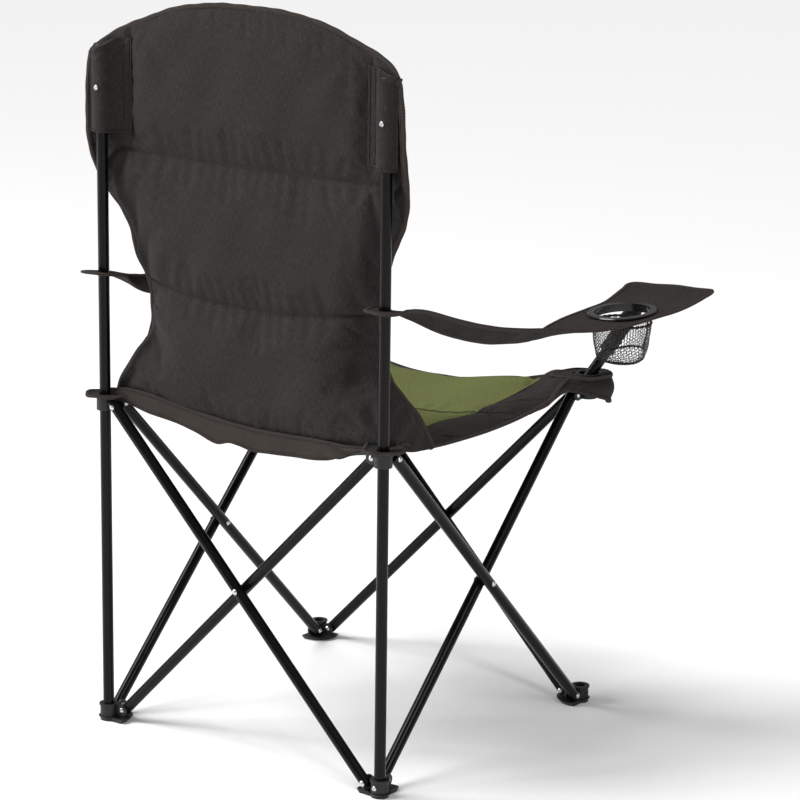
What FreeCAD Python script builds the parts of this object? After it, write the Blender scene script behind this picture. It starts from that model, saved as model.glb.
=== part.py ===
"""Folding camp chair: four crossed tube pairs between four feet and four hubs, two tall rear posts,
two leaning arm posts, and a padded fabric back, seat and arms. Millimetres, +Z up, floor at Z 0,
front of the chair towards -Y, the sitter's right towards -X."""

import FreeCAD, Part
import math
import os
from FreeCAD import Placement, Rotation, Vector

os.makedirs("parts", exist_ok=True)
doc = FreeCAD.newDocument("folding_camp_chair")

# alias: (value, what it sets)
DIMENSIONS = {
    "half_spacing": (250.0, "post axis to the middle of the frame, in X and in Y"),
    "setback": (26.6, "origin back to the middle of the frame, as the arms reach far forward"),
    "pivot_reach": (22.5, "post axis to a tube's pivot, along the side"),
    "foot_pivot_height": (16.0, "floor to the pivots in the feet"),
    "hub_pivot_height": (478.4, "floor to the pivots in the hubs, open"),
    "tube_radius": (8.0, "all frame tubes, outside"),
    "tube_wall": (1.0, "wall of the frame tubes"),
    "outer_plane": (3.6, "post axis out to the outer tube's axis"),
    "inner_plane": (12.8, "post axis in to the inner tube's axis"),
    "rivet_radius": (2.5, "shank of every rivet"),
    "rivet_clearance": (0.05, "radial play of a rivet in a tube"),
    "rivet_head_radius": (4.2, "rivet head"),
    "rivet_head_rise": (1.9, "height of a rivet head"),
    "rivet_gap": (0.1, "under a head that sits on a tube"),
    "post_length": (990.0, "rear post"),
    "post_floor": (4.0, "floor to the lower end of a rear post"),
    "socket_radius": (12.5, "outside of a foot socket and of a hub"),
    "socket_rim_radius": (14.0, "rim at the top of a foot socket"),
    "socket_height": (25.0, "top of a foot socket"),
    "socket_play": (0.05, "radial play of a post in its foot"),
    "slider_play": (0.4, "radial play of a sliding hub on its post"),
    "base_radius": (35.0, "quadrant shaped base of a foot"),
    "base_height": (6.0, "thickness of a foot's base"),
    "lug_thickness": (2.8, "plate that a tube is riveted to"),
    "lug_gap": (0.2, "lug to tube"),
    "lug_radius": (8.8, "rounded end of a lug"),
    "lug_top": (6.3, "pivot up to the top of a lug beside its socket"),
    "hub_below": (8.0, "pivot down to the underside of a hub"),
    "hub_above": (12.0, "pivot up to the top of a rear hub"),
    "front_hub_above": (6.8, "pivot up to the top of a front hub's body"),
    "arm_pivot_inset": (4.0, "corner in to the arm post's pin, in X and in Y"),
    "arm_pivot_height": (495.0, "floor to the arm post's pin"),
    "arm_lean": (35.3, "arm post from the vertical, degrees"),
    "arm_post_length": (159.0, "pin to the upper end of an arm post"),
    "cheek_thickness": (3.0, "side of the fork that holds an arm post"),
    "cheek_gap": (0.3, "arm post to cheek"),
    "sleeve_start": (42.0, "pin to the lower end of an arm sleeve"),
    "sleeve_length": (109.0, "arm sleeve"),
    "sleeve_play": (0.2, "arm sleeve off its post"),
    "sleeve_wall": (1.6, "arm sleeve"),
    "ring_inner_radius": (40.3, "opening of the cup ring"),
    "ring_outer_radius": (50.5, "flange of the cup ring"),
    "ring_thickness": (2.6, "flange of the cup ring"),
    "ring_collar_radius": (43.0, "outside of the cup ring's collar"),
    "ring_collar_depth": (9.0, "collar below the flange"),
    "bag_top_radius": (42.0, "mesh bag at its top, inside"),
    "bag_bottom_radius": (37.5, "mesh bag at its bottom, inside"),
    "bag_depth": (64.0, "mesh bag"),
    "bag_wall": (1.2, "mesh bag"),
    "fabric": (3.0, "a layer of fabric with its hems"),
    "pad": (12.0, "back panel"),
    "seat_pad": (8.0, "seat panel"),
}

sheet = doc.addObject("Spreadsheet::Sheet", "dims")
for row, (alias, (value, meaning)) in enumerate(DIMENSIONS.items(), start=1):
    sheet.set(f"A{row}", alias)
    sheet.set(f"B{row}", str(value))
    sheet.setAlias(f"B{row}", alias)
    sheet.set(f"C{row}", meaning)
doc.recompute()


def size(alias):
    return float(sheet.get(alias))


HALF = size("half_spacing")
REACH = size("pivot_reach")
RADIUS = size("tube_radius")
FOOT_Z = size("foot_pivot_height")
HUB_Z = size("hub_pivot_height")
INNER = size("inner_plane")
OUTER = size("outer_plane")
LUG = size("lug_thickness")
LUG_GAP = size("lug_gap")
HEAD_GAP = size("rivet_gap")
X, Y, Z = Vector(1, 0, 0), Vector(0, 1, 0), Vector(0, 0, 1)

SCREW_RADIUS = 1.8
SCREW_HEAD_RADIUS = 3.6
SCREW_HEAD_RISE = 1.8
SCREW_SLOT = 0.8
SCREW_LENGTH = 6.5
SCREW_DROP = -1.5
CHEEK_HALF = 6.0
CHEEK_ROOT = 1.5
LUG_ROOT = 3.0
FOOT_EDGE = 8.0
RIM_HEIGHT = 2.5
PLUG_PLAY = 0.02
PLUG_HEAD = 2.5
PLUG_ROUND = 1.8
PLUG_STEM = 12.0
THROUGH = 100.0

BACK_FRONT = 226.0
BACK_REAR = BACK_FRONT + size("pad")
POCKET_SCREW_HEIGHT = 936.0
POCKET_LOW = 874.0
POCKET_HEIGHT = 127.0
POCKET_CLOSED = 3.0
POCKET_WIDTH = 46.0
POCKET_BACK = 11.5
POCKET_ROUND = 9.0
POCKET_GAP = 0.4

SEAT_EDGE = 222.0
SEAT_HINGE_HEIGHT = 471.0
CORNER_GAP = 0.5
REAR_CORNER_REACH = 26.0
FRONT_CORNER_REACH = 38.0
FRONT_CORNER_HEIGHT = 503.6
TONGUE_HALF = 22.0
TONGUE_LENGTH = 32.0
EYELET_INNER = 15.2
EYELET_OUTER = 18.8
EYELET_RISE = 1.2

# The corners and the sides follow each other by quarter turns about Z, starting at the sitter's
# right rear corner. Side k runs between corner k and the one before it.
CORNERS = ["rear_right", "front_right", "front_left", "rear_left"]
SIDES = ["back", "right", "front", "left"]
FRONT = [1, 2]
REAR = [0, 3]

sub_parts = []


def keep(obj, node):
    """Names a finished sub-part, which is also the name of its file."""
    obj.Label = node
    sub_parts.append(obj)
    return obj


def at(base, direction=Z):
    """Placement that moves the origin to base and turns +Z to direction."""
    return Placement(Vector(*base), Rotation(Z, direction))


def shape_of(kind, name, placement, **sizes):
    """One Part primitive: a text size is an expression, any other is set as it is."""
    obj = doc.addObject("Part::" + kind, name)
    obj.Placement = placement
    for key, value in sizes.items():
        if isinstance(value, str):
            obj.setExpression(key, value)
        else:
            setattr(obj, key, value)
    return obj


def cylinder(name, placement, radius, height):
    return shape_of("Cylinder", name, placement, Radius=radius, Height=height)


def box(name, placement, length, width, height):
    return shape_of("Box", name, placement, Length=length, Width=width, Height=height)


def cut(name, base, tool):
    obj = doc.addObject("Part::Cut", name)
    obj.Base = base
    obj.Tool = tool
    return obj


def common(name, base, tool):
    obj = doc.addObject("Part::Common", name)
    obj.Base = base
    obj.Tool = tool
    return obj


def fuse(name, shapes):
    obj = doc.addObject("Part::MultiFuse", name)
    obj.Shapes = shapes
    return obj


def group(name, shapes):
    obj = doc.addObject("Part::Compound", name)
    obj.Links = shapes
    return obj


def soften(kind, name, base, wanted, first, second):
    """Fillet or Chamfer of every edge of base that wanted(edge) picks."""
    base.recompute()
    obj = doc.addObject("Part::" + kind, name)
    obj.Base = base
    obj.Edges = [(number, first, second) for number, edge in enumerate(base.Shape.Edges, start=1)
                 if wanted(edge)]
    return obj


def far_circle(base, direction):
    """Picks the circular edges that lie furthest along direction, for soften."""
    base.recompute()
    reach = max(edge.CenterOfMass.dot(direction) for edge in base.Shape.Edges)

    def wanted(edge):
        return isinstance(edge.Curve, Part.Circle) and \
            abs(edge.CenterOfMass.dot(direction) - reach) < 0.01
    return wanted


def quarter_turns(count):
    return Placement(Vector(), Rotation(Z, 90.0 * count))


def corner_placement(index, height):
    """Corner frame: +X and -Y run along the two sides towards the neighbouring corners."""
    return quarter_turns(index) * Placement(Vector(-HALF, HALF, height), Rotation())


# ---------------------------------------------------------------- rivets and screws

def rivet(name, start, direction, grip):
    """Shank of length grip from start along direction, with a domed head at each end."""
    rise, head = size("rivet_head_rise"), size("rivet_head_radius")
    dome = (head ** 2 + rise ** 2) / (2.0 * rise)
    latitude = math.degrees(math.asin((dome - rise) / dome))
    end = start + direction * grip
    shank = cylinder(name + "_shank", at(start, direction), "dims.rivet_radius", grip)
    heads = []
    for tag, foot, way in (("far", end, direction), ("near", start, -direction)):
        centre = foot - way * (dome - rise)
        heads.append(shape_of("Sphere", f"{name}_{tag}_head", at(centre, way), Radius=dome,
                              Angle1=latitude, Angle2=90.0, Angle3=360.0))
    return fuse(name, [shank] + heads)


def corner_rivets(index, level, inner_first, node):
    """The two rivets of a foot or hub. The first side holds the inner tube on a hub and the outer
    tube on a foot; each lug stands between the tube and the next one's plane."""
    grip = 2 * RADIUS + LUG_GAP + LUG + HEAD_GAP
    inner_far = INNER + RADIUS + HEAD_GAP
    outer_far = OUTER + RADIUS + HEAD_GAP
    if inner_first:
        first = rivet(f"{node}_first", Vector(REACH, -inner_far, 0), Y, grip)
        second = rivet(f"{node}_second", Vector(-outer_far, -REACH, 0), X, grip)
    else:
        first = rivet(f"{node}_first", Vector(REACH, outer_far, 0), -Y, grip)
        second = rivet(f"{node}_second", Vector(inner_far, -REACH, 0), -X, grip)
    pair = group(node + "_pair", [first, second])
    pair.Placement = corner_placement(index, level)
    return keep(pair, node)


# ---------------------------------------------------------------- crossed tubes

HALF_RUN = HALF - REACH
HALF_RISE = (HUB_Z - FOOT_Z) / 2.0
TUBE_SPAN = 2.0 * math.hypot(HALF_RUN, HALF_RISE)
RISE_ANGLE = math.degrees(math.atan2(HALF_RISE, HALF_RUN))
PIVOT_SPAN = ("2 * sqrt((dims.half_spacing - dims.pivot_reach)^2"
              " + ((dims.hub_pivot_height - dims.foot_pivot_height) / 2)^2)")


def riveted_tube(name, span, span_text, far_round, holes):
    """Hollow tube from the pivot at the origin along +X. The ends are cut round about the pivots,
    which run along Y, and holes are drilled along Y at the given distances."""
    lie = at((-RADIUS, 0, 0), X)
    outside = cylinder(name + "_outside", lie, "dims.tube_radius",
                       f"{span_text} + 2 * dims.tube_radius")
    inside = cylinder(name + "_inside", lie, "dims.tube_radius - dims.tube_wall",
                      f"{span_text} + 2 * dims.tube_radius")
    hollow = cut(name + "_hollow", outside, inside)
    middle = box(name + "_middle", Placement(Vector(0, -RADIUS, -RADIUS), Rotation()),
                 span_text, "2 * dims.tube_radius", "2 * dims.tube_radius")
    rounds = [cylinder(name + "_near_round", at((0, -RADIUS, 0), Y), "dims.tube_radius",
                       "2 * dims.tube_radius")]
    if far_round:
        rounds.append(cylinder(name + "_far_round", at((span, -RADIUS, 0), Y), "dims.tube_radius",
                               "2 * dims.tube_radius"))
    trimmed = common(name + "_trimmed", hollow, fuse(name + "_outline", [middle] + rounds))
    drills = [cylinder(f"{name}_drill_{number}", at((place, -2 * RADIUS, 0), Y),
                       "dims.rivet_radius + dims.rivet_clearance", 4 * RADIUS)
              for number, place in enumerate(holes)]
    tool = drills[0] if len(drills) == 1 else fuse(name + "_drills", drills)
    return cut(name, trimmed, tool)


def cross_pair(index):
    """The outer tube rises towards the corner before, the inner one towards this side's corner,
    and one rivet joins them halfway."""
    side = SIDES[index]
    turn = quarter_turns(index)
    rise = math.radians(RISE_ANGLE)
    for layer, way, plane in (("outer", 1, OUTER), ("inner", -1, -INNER)):
        along = Vector(way * math.cos(rise), 0, math.sin(rise))
        pivot = Vector(0, way, 0)
        pose = Rotation(along, pivot, along.cross(pivot), "XYZ")
        tube = riveted_tube(f"{side}_{layer}", TUBE_SPAN, PIVOT_SPAN, True,
                            [0.0, TUBE_SPAN / 2.0, TUBE_SPAN])
        tube.Placement = turn * Placement(Vector(-way * HALF_RUN, HALF + plane, FOOT_Z), pose)
        keep(tube, f"{side}_{layer}_tube")
    start = Vector(0, HALF - INNER - RADIUS - HEAD_GAP, (FOOT_Z + HUB_Z) / 2.0)
    pin = rivet(f"{side}_cross", start, Y, INNER + OUTER + 2 * RADIUS + 2 * HEAD_GAP)
    pin.Placement = turn
    keep(pin, f"{side}_cross_rivet")


# ---------------------------------------------------------------- feet and hubs

def lug(name, side, face, low):
    """Plate with a rounded end on the pivot, side 0 along +X and side 1 along -Y. It starts in
    the socket's wall, and face is its lower coordinate across the plate."""
    start = size("socket_radius") - LUG_ROOT
    length = REACH - start
    if side == 0:
        plate = box(name + "_plate", Placement(Vector(start, face, low), Rotation()),
                    length, "dims.lug_thickness", size("lug_top") - low)
        end = cylinder(name + "_end", at((REACH, face, 0), Y), "dims.lug_radius",
                       "dims.lug_thickness")
    else:
        plate = box(name + "_plate", Placement(Vector(face, -REACH, low), Rotation()),
                    "dims.lug_thickness", length, size("lug_top") - low)
        end = cylinder(name + "_end", at((face, -REACH, 0), X), "dims.lug_radius",
                       "dims.lug_thickness")
    return [plate, end]


def lug_drills(name):
    """Drills for the rivets of both lugs."""
    half = THROUGH / 2.0
    return [cylinder(name + "_drill_0", at((REACH, -half, 0), Y),
                     "dims.rivet_radius + dims.rivet_clearance", THROUGH),
            cylinder(name + "_drill_1", at((-half, -REACH, 0), X),
                     "dims.rivet_radius + dims.rivet_clearance", THROUGH)]


def foot(index):
    """Moulded foot, drawn about its pivots' height: a tapered base that fills the inner quadrant,
    a socket for the post, and a lug for each tube. Every foot is the same moulding."""
    node = CORNERS[index] + "_foot"
    floor = -FOOT_Z
    disc = shape_of("Cone", node + "_disc", at((0, 0, floor)), Radius1="dims.base_radius - 5",
                    Radius2="dims.base_radius", Height="dims.base_height")
    quadrant = box(node + "_quadrant",
                   Placement(Vector(-FOOT_EDGE, FOOT_EDGE - THROUGH, floor), Rotation()),
                   THROUGH, THROUGH, "dims.base_height")
    base = common(node + "_base", disc, quadrant)
    heel = shape_of("Cone", node + "_heel", at((0, 0, floor)), Radius1="dims.socket_radius - 2",
                    Radius2="dims.socket_rim_radius + 1", Height="dims.base_height")
    socket = cylinder(node + "_socket", at((0, 0, floor)), "dims.socket_radius",
                      "dims.socket_height")
    rim = cylinder(node + "_rim", at((0, 0, size("socket_height") - FOOT_Z - RIM_HEIGHT)),
                   "dims.socket_rim_radius", RIM_HEIGHT)
    low = floor + size("base_height") - 1.0
    outer_lug = lug(node + "_outer_lug", 0, OUTER - RADIUS - LUG_GAP - LUG, low)
    inner_lug = lug(node + "_inner_lug", 1, INNER - RADIUS - LUG_GAP - LUG, low)
    body = fuse(node + "_body", [base, heel, socket, rim] + outer_lug + inner_lug)
    bore = cylinder(node + "_bore", at((0, 0, size("post_floor") - FOOT_Z)),
                    "dims.tube_radius + dims.socket_play", "dims.socket_height")
    screw_hole = cylinder(node + "_screw_hole", at((0, 0, SCREW_DROP), Y), SCREW_RADIUS,
                          THROUGH)
    tools = fuse(node + "_tools", [bore, screw_hole] + lug_drills(node))
    finished = cut(node, body, tools)
    finished.Placement = corner_placement(index, FOOT_Z)
    keep(finished, node)


def rear_hub(index):
    """Collar that slides on a rear post, with a lug for each of the two upper tube ends."""
    node = CORNERS[index] + "_hub"
    low = -size("hub_below")
    collar = cylinder(node + "_collar", at((0, 0, low)), "dims.socket_radius",
                      "dims.hub_below + dims.hub_above")
    rim = cylinder(node + "_rim", at((0, 0, size("hub_above") - RIM_HEIGHT)),
                   "dims.socket_radius + 1", RIM_HEIGHT)
    lugs = hub_lugs(node, low)
    body = fuse(node + "_body", [collar, rim] + lugs)
    bore = cylinder(node + "_bore", at((0, 0, 2 * low)), "dims.tube_radius + dims.slider_play",
                    "2 * (dims.hub_below + dims.hub_above)")
    tools = fuse(node + "_tools", [bore] + lug_drills(node))
    finished = cut(node, body, tools)
    finished.Placement = corner_placement(index, HUB_Z)
    keep(finished, node)


def hub_lugs(node, low):
    inner_lug = lug(node + "_inner_lug", 0, -(INNER - RADIUS - LUG_GAP), low)
    outer_lug = lug(node + "_outer_lug", 1, -(OUTER - RADIUS - LUG_GAP), low)
    return inner_lug + outer_lug


def front_hub(index):
    """Hub under a front seat corner: the same two lugs, and a fork on top for the arm post."""
    node = CORNERS[index] + "_hub"
    low = -size("hub_below")
    collar = cylinder(node + "_collar", at((0, 0, low)), "dims.socket_radius",
                      "dims.hub_below + dims.front_hub_above")
    fork = corner_placement(index, HUB_Z).inverse() * arm_frame(index)
    cheeks = []
    gap = size("cheek_gap") + RADIUS
    drop = size("arm_pivot_height") - HUB_Z - size("front_hub_above") + CHEEK_ROOT
    for tag, face in (("a", gap), ("b", -gap - size("cheek_thickness"))):
        plate = box(f"{node}_cheek_{tag}",
                    fork * Placement(Vector(-CHEEK_HALF, face, -drop), Rotation()),
                    2 * CHEEK_HALF, "dims.cheek_thickness", drop)
        end = cylinder(f"{node}_cheek_end_{tag}", fork * at((0, face, 0), Y),
                       "dims.tube_radius", "dims.cheek_thickness")
        cheeks += [plate, end]
    body = fuse(node + "_body", [collar] + cheeks + hub_lugs(node, low))
    pin_hole = cylinder(node + "_pin_hole", fork * at((0, -THROUGH / 2.0, 0), Y),
                        "dims.rivet_radius + dims.rivet_clearance", THROUGH)
    tools = fuse(node + "_tools", [pin_hole] + lug_drills(node))
    finished = cut(node, body, tools)
    finished.Placement = corner_placement(index, HUB_Z)
    keep(finished, node)


def screw(node, start, length):
    """Pan head screw driven towards -Y: the head's seat is at start."""
    shank = cylinder(node + "_shank", at(start, -Y), SCREW_RADIUS, length)
    head = cylinder(node + "_head", at(start, Y), SCREW_HEAD_RADIUS, SCREW_HEAD_RISE)
    rounded = soften("Chamfer", node + "_rounded", head, far_circle(head, Y), SCREW_SLOT,
                     SCREW_SLOT)
    corner = Vector(-SCREW_SLOT / 2.0, SCREW_HEAD_RISE - SCREW_SLOT, -SCREW_HEAD_RADIUS + SCREW_SLOT)
    slot = box(node + "_slot", Placement(start + corner, Rotation()), SCREW_SLOT, SCREW_HEAD_RISE,
               2 * (SCREW_HEAD_RADIUS - SCREW_SLOT))
    return keep(cut(node, fuse(node + "_blank", [shank, rounded]), slot), node)


# ---------------------------------------------------------------- posts

def plug(name, radius, wall, stem):
    """End cap for a tube: a stem that fills the tube and a domed head that covers its end."""
    stem_part = cylinder(name + "_stem", at((0, 0, -stem)), radius - wall - PLUG_PLAY, stem)
    head = cylinder(name + "_head", Placement(), radius, PLUG_HEAD)
    rounded = soften("Fillet", name + "_rounded", head, far_circle(head, Z), PLUG_ROUND,
                     PLUG_ROUND)
    return fuse(name, [stem_part, rounded])


def rear_post(index):
    """Tall rear tube, drilled for the foot screw and for the pocket screw, with a plug on top."""
    node = CORNERS[index] + "_post"
    side = -HALF if index == 0 else HALF
    base = Vector(side, HALF, size("post_floor"))
    outside = cylinder(node + "_outside", at(base), "dims.tube_radius", "dims.post_length")
    inside = cylinder(node + "_inside", at(base), "dims.tube_radius - dims.tube_wall",
                      "dims.post_length")
    foot_side = corner_placement(index, FOOT_Z)
    foot_hole = cylinder(node + "_foot_hole", foot_side * at((0, 0, SCREW_DROP), Y),
                         SCREW_RADIUS, THROUGH)
    pocket_hole = cylinder(node + "_pocket_hole", at((side, HALF, POCKET_SCREW_HEIGHT), Y),
                           SCREW_RADIUS, THROUGH)
    tools = fuse(node + "_tools", [inside, foot_hole, pocket_hole])
    keep(cut(node, outside, tools), node)
    cap = plug(node + "_cap", RADIUS, size("tube_wall"), PLUG_STEM)
    cap.Placement = at(base + Z * size("post_length"))
    keep(cap, node + "_cap")
    screw(CORNERS[index] + "_pocket_screw",
          Vector(side, HALF + POCKET_BACK, POCKET_SCREW_HEIGHT), SCREW_LENGTH)
    foot_screw = screw(CORNERS[index] + "_foot_screw",
                       Vector(0, size("socket_radius"), SCREW_DROP), SCREW_LENGTH)
    foot_screw.Placement = foot_side


def arm_frame(index):
    """World frame at an arm post's pin: +X points outwards along the diagonal, Y along the pin."""
    sign = -1.0 if index == FRONT[0] else 1.0
    inset = size("arm_pivot_inset")
    place = Vector(sign * (HALF - inset), -(HALF - inset), size("arm_pivot_height"))
    out = Vector(sign, -1, 0).normalize()
    return Placement(place, Rotation(out, Z.cross(out), Z, "XYZ"))


def arm_post(index):
    """Leaning tube on the front hub's fork, with its pin, its plug and its fabric sleeve."""
    side = "right" if index == FRONT[0] else "left"
    lean = math.radians(size("arm_lean"))
    frame = arm_frame(index)
    along = Vector(math.sin(lean), 0, math.cos(lean))
    pose = frame * Placement(Vector(), Rotation(along, Y, along.cross(Y), "XYZ"))
    tube = riveted_tube(side + "_arm", size("arm_post_length"),
                        "dims.arm_post_length - dims.tube_radius", False, [0.0])
    tube.Placement = pose
    keep(tube, side + "_arm_post")
    grip = 2.0 * (RADIUS + size("cheek_gap") + size("cheek_thickness"))
    pin = rivet(side + "_arm_pin_body", Vector(0, -grip / 2.0, 0), Y, grip)
    pin.Placement = frame
    keep(pin, side + "_arm_pin")
    cap = plug(side + "_arm_cap", RADIUS, size("tube_wall"), PLUG_STEM)
    end = size("arm_post_length") - RADIUS
    cap.Placement = pose * at((end, 0, 0), X)
    keep(cap, side + "_arm_post_cap")
    lie = at((size("sleeve_start"), 0, 0), X)
    outside = cylinder(side + "_sleeve_outside", lie,
                       "dims.tube_radius + dims.sleeve_play + dims.sleeve_wall",
                       "dims.sleeve_length")
    inside = cylinder(side + "_sleeve_inside", lie, "dims.tube_radius + dims.sleeve_play",
                      "dims.sleeve_length")
    sleeve = cut(side + "_sleeve", outside, inside)
    sleeve.Placement = pose
    keep(sleeve, side + "_arm_sleeve")


# ---------------------------------------------------------------- fabric

def sketch_body(name, points, plane, thickness, arcs):
    """A PartDesign body: the closed outline in the given origin plane, padded by thickness, which
    is a number or an expression. arcs maps an edge's number to a point that its arc runs through."""
    body = doc.addObject("PartDesign::Body", name)
    sketch = body.newObject("Sketcher::SketchObject", name + "_outline")
    origin = [part for part in body.Origin.OriginFeatures if part.Role == plane][0]
    sketch.AttachmentSupport = (origin, [""])
    sketch.MapMode = "FlatFace"
    for number, start in enumerate(points):
        end = points[(number + 1) % len(points)]
        first, last = Vector(*start, 0), Vector(*end, 0)
        if number in arcs:
            middle = Vector(*arcs[number], 0)
            sketch.addGeometry(Part.Arc(first, middle, last), False)
        else:
            sketch.addGeometry(Part.LineSegment(first, last), False)
    pad = body.newObject("PartDesign::Pad", name + "_pad")
    pad.Profile = sketch
    if isinstance(thickness, str):
        pad.setExpression("Length", thickness)
    else:
        pad.Length = thickness
    body.Tip = pad
    return body


# Left half of the back's outline from the top to the bottom, X and Z, and a point on each of its
# first two edges, which are arcs
BACK_OUTLINE = [(0, 1066), (215, 1035), (262, 985), (284, 900), (284, 850), (210, 734), (180, 640),
                (178, 592), (236, 532), (236, 502), (0, 457)]
BACK_ARCS = [(120, 1056), (246, 1016)]


def back_panel():
    """Padded back between the posts: a rounded top that stands out past them, a waist where the
    arms pass, and a flare down to the seat's corners."""
    last = len(BACK_OUTLINE) - 1
    outline = BACK_OUTLINE + [(-x, z) for x, z in reversed(BACK_OUTLINE[1:last])]
    arcs = {}
    for number, (x, z) in enumerate(BACK_ARCS):
        arcs[number] = (x, z)
        arcs[len(outline) - 1 - number] = (-x, z)
    body = sketch_body("back_panel_body", outline, "XZ_Plane", "dims.pad", arcs)
    body.Placement = Placement(Vector(0, BACK_REAR, 0), Rotation())
    keep(body, "back_panel")


def back_pocket(index):
    """Patch sewn to the back panel that the top of a rear post slides into."""
    node = CORNERS[index] + "_pocket"
    side = -HALF if index == 0 else HALF
    front = BACK_REAR + POCKET_GAP
    block = box(node + "_block", Placement(Vector(side - POCKET_WIDTH / 2, front, POCKET_LOW),
                                           Rotation()),
                POCKET_WIDTH, HALF + POCKET_BACK - front, POCKET_HEIGHT)

    def rear_upright(edge):
        return abs(edge.tangentAt(edge.FirstParameter).z) > 0.9 and edge.CenterOfMass.y > HALF

    rounded = soften("Fillet", node + "_rounded", block, rear_upright, POCKET_ROUND,
                     POCKET_ROUND)
    bore = cylinder(node + "_bore", at((side, HALF, POCKET_LOW - POCKET_CLOSED)),
                    "dims.tube_radius + 0.1", POCKET_HEIGHT)
    hole = cylinder(node + "_hole", at((side, HALF, POCKET_SCREW_HEIGHT), Y), SCREW_RADIUS,
                    THROUGH)
    keep(cut(node, rounded, fuse(node + "_tools", [bore, hole])), node)


# Half of the seat across the chair: X from the middle, and how far it hangs below its edge
SEAT_SAG = [(0.3, 25.0), (90.0, 22.0), (165.0, 13.0), (SEAT_EDGE, 0.0)]


def seat_half(name, sign):
    """Half of the hanging seat, from the middle out to the side tubes, sagging to the middle."""
    top = SEAT_HINGE_HEIGHT
    curve = [(sign * x, top - sag) for x, sag in SEAT_SAG]
    outline = curve + [(x, z - size("seat_pad")) for x, z in reversed(curve)]
    body = sketch_body(name + "_body", outline, "XZ_Plane", 2 * SEAT_EDGE, {})
    body.Placement = Placement(Vector(0, SEAT_EDGE, 0), Rotation())
    keep(body, name)


def seat_corner(index):
    """Reinforced corner of the seat: a tongue along the diagonal with a hole for the post."""
    rear = index in REAR
    node = CORNERS[index] + "_seat_corner"
    level = size("hub_above") + CORNER_GAP if rear else FRONT_CORNER_HEIGHT - HUB_Z
    reach = REAR_CORNER_REACH if rear else FRONT_CORNER_REACH
    hole = "dims.tube_radius + 0.6" if rear else EYELET_INNER
    disc = cylinder(node + "_disc", at((0, 0, level)), reach, "dims.fabric")
    tongue = box(node + "_tongue", Placement(Vector(0, 0, level), Rotation(Z, -45.0))
                 * Placement(Vector(0, -TONGUE_HALF, 0), Rotation()),
                 TONGUE_LENGTH, 2 * TONGUE_HALF, "dims.fabric")
    drill = cylinder(node + "_drill", at((0, 0, level - THROUGH / 2.0)), hole, THROUGH)
    finished = cut(node, fuse(node + "_blank", [disc, tongue]), drill)
    finished.Placement = corner_placement(index, HUB_Z)
    keep(finished, node)
    if not rear:
        seat_eyelet(index, level)


def seat_eyelet(index, level):
    """Pressed ring round the arm post's hole in a front seat corner."""
    node = ("right" if index == FRONT[0] else "left") + "_seat_eyelet"
    outside = cylinder(node + "_outside", at((0, 0, level + size("fabric"))), EYELET_OUTER,
                       EYELET_RISE)
    inside = cylinder(node + "_inside", at((0, 0, level)), EYELET_INNER, THROUGH)
    ring = cut(node, outside, inside)
    ring.Placement = corner_placement(index, HUB_Z)
    keep(ring, node)


# Middle line of the right arm, from the rear post to the front edge: X, Y, Z, width
ARM_LINE = [
    (-250.0, 228.0, 679.0, 44.0),
    (-263.0, 174.0, 664.0, 34.0),
    (-280.0, 73.0, 631.0, 32.0),
    (-300.0, -43.0, 611.0, 34.0),
    (-311.0, -105.0, 607.5, 66.0),
    (-320.0, -155.0, 608.5, 112.0),
    (-337.0, -262.0, 616.5, 118.0),
    (-346.0, -320.0, 638.0, 120.0),
]
RING_CENTRE = Vector(-329.0, -212.0, 613.0)
ARM_TILT = 0.05
RING_NORMAL = Vector(ARM_TILT, 0.07, 1.0)
ARM_LOOP_RADIUS = 25.0
ARM_LOOP_PLAY = 0.8
RING_PLAY = 1.5
RING_LIFT = 3.4
BAG_GAP = 4.4


def arm(side, sign):
    """Fabric arm: a strap with a loop round the rear post, widening into a flat front panel."""
    half = size("fabric") / 2.0
    wires = []
    points = [Vector(sign * x, y, z) for x, y, z, _ in ARM_LINE]
    for number, (_, _, _, width) in enumerate(ARM_LINE):
        before = points[max(number - 1, 0)]
        after = points[min(number + 1, len(points) - 1)]
        across = ((after - before).cross(Z).normalize() + Z * sign * ARM_TILT) * (width / 2.0)
        centre = points[number]
        up = Z * half
        loop = [centre - across - up, centre + across - up, centre + across + up,
                centre - across + up]
        wires.append(Part.makePolygon(loop + loop[:1]))
    strip = Part.makeLoft(wires, True, True)
    post = Vector(points[0].x, HALF, points[0].z)
    loop = Part.makeCylinder(ARM_LOOP_RADIUS, size("fabric"), post - Z * half)
    hole = Part.makeCylinder(RADIUS + ARM_LOOP_PLAY, THROUGH, post - Z * (THROUGH / 2.0))
    shape = strip.fuse(loop).cut(hole)
    if side == "right":
        shape = shape.cut(Part.makeCylinder(size("ring_collar_radius") + RING_PLAY, THROUGH,
                                            RING_CENTRE - Z * (THROUGH / 2.0)))
    panel = doc.addObject("Part::Feature", side + "_arm_fabric")
    panel.Shape = shape.removeSplitter()
    keep(panel, side + "_arm_panel")


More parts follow.
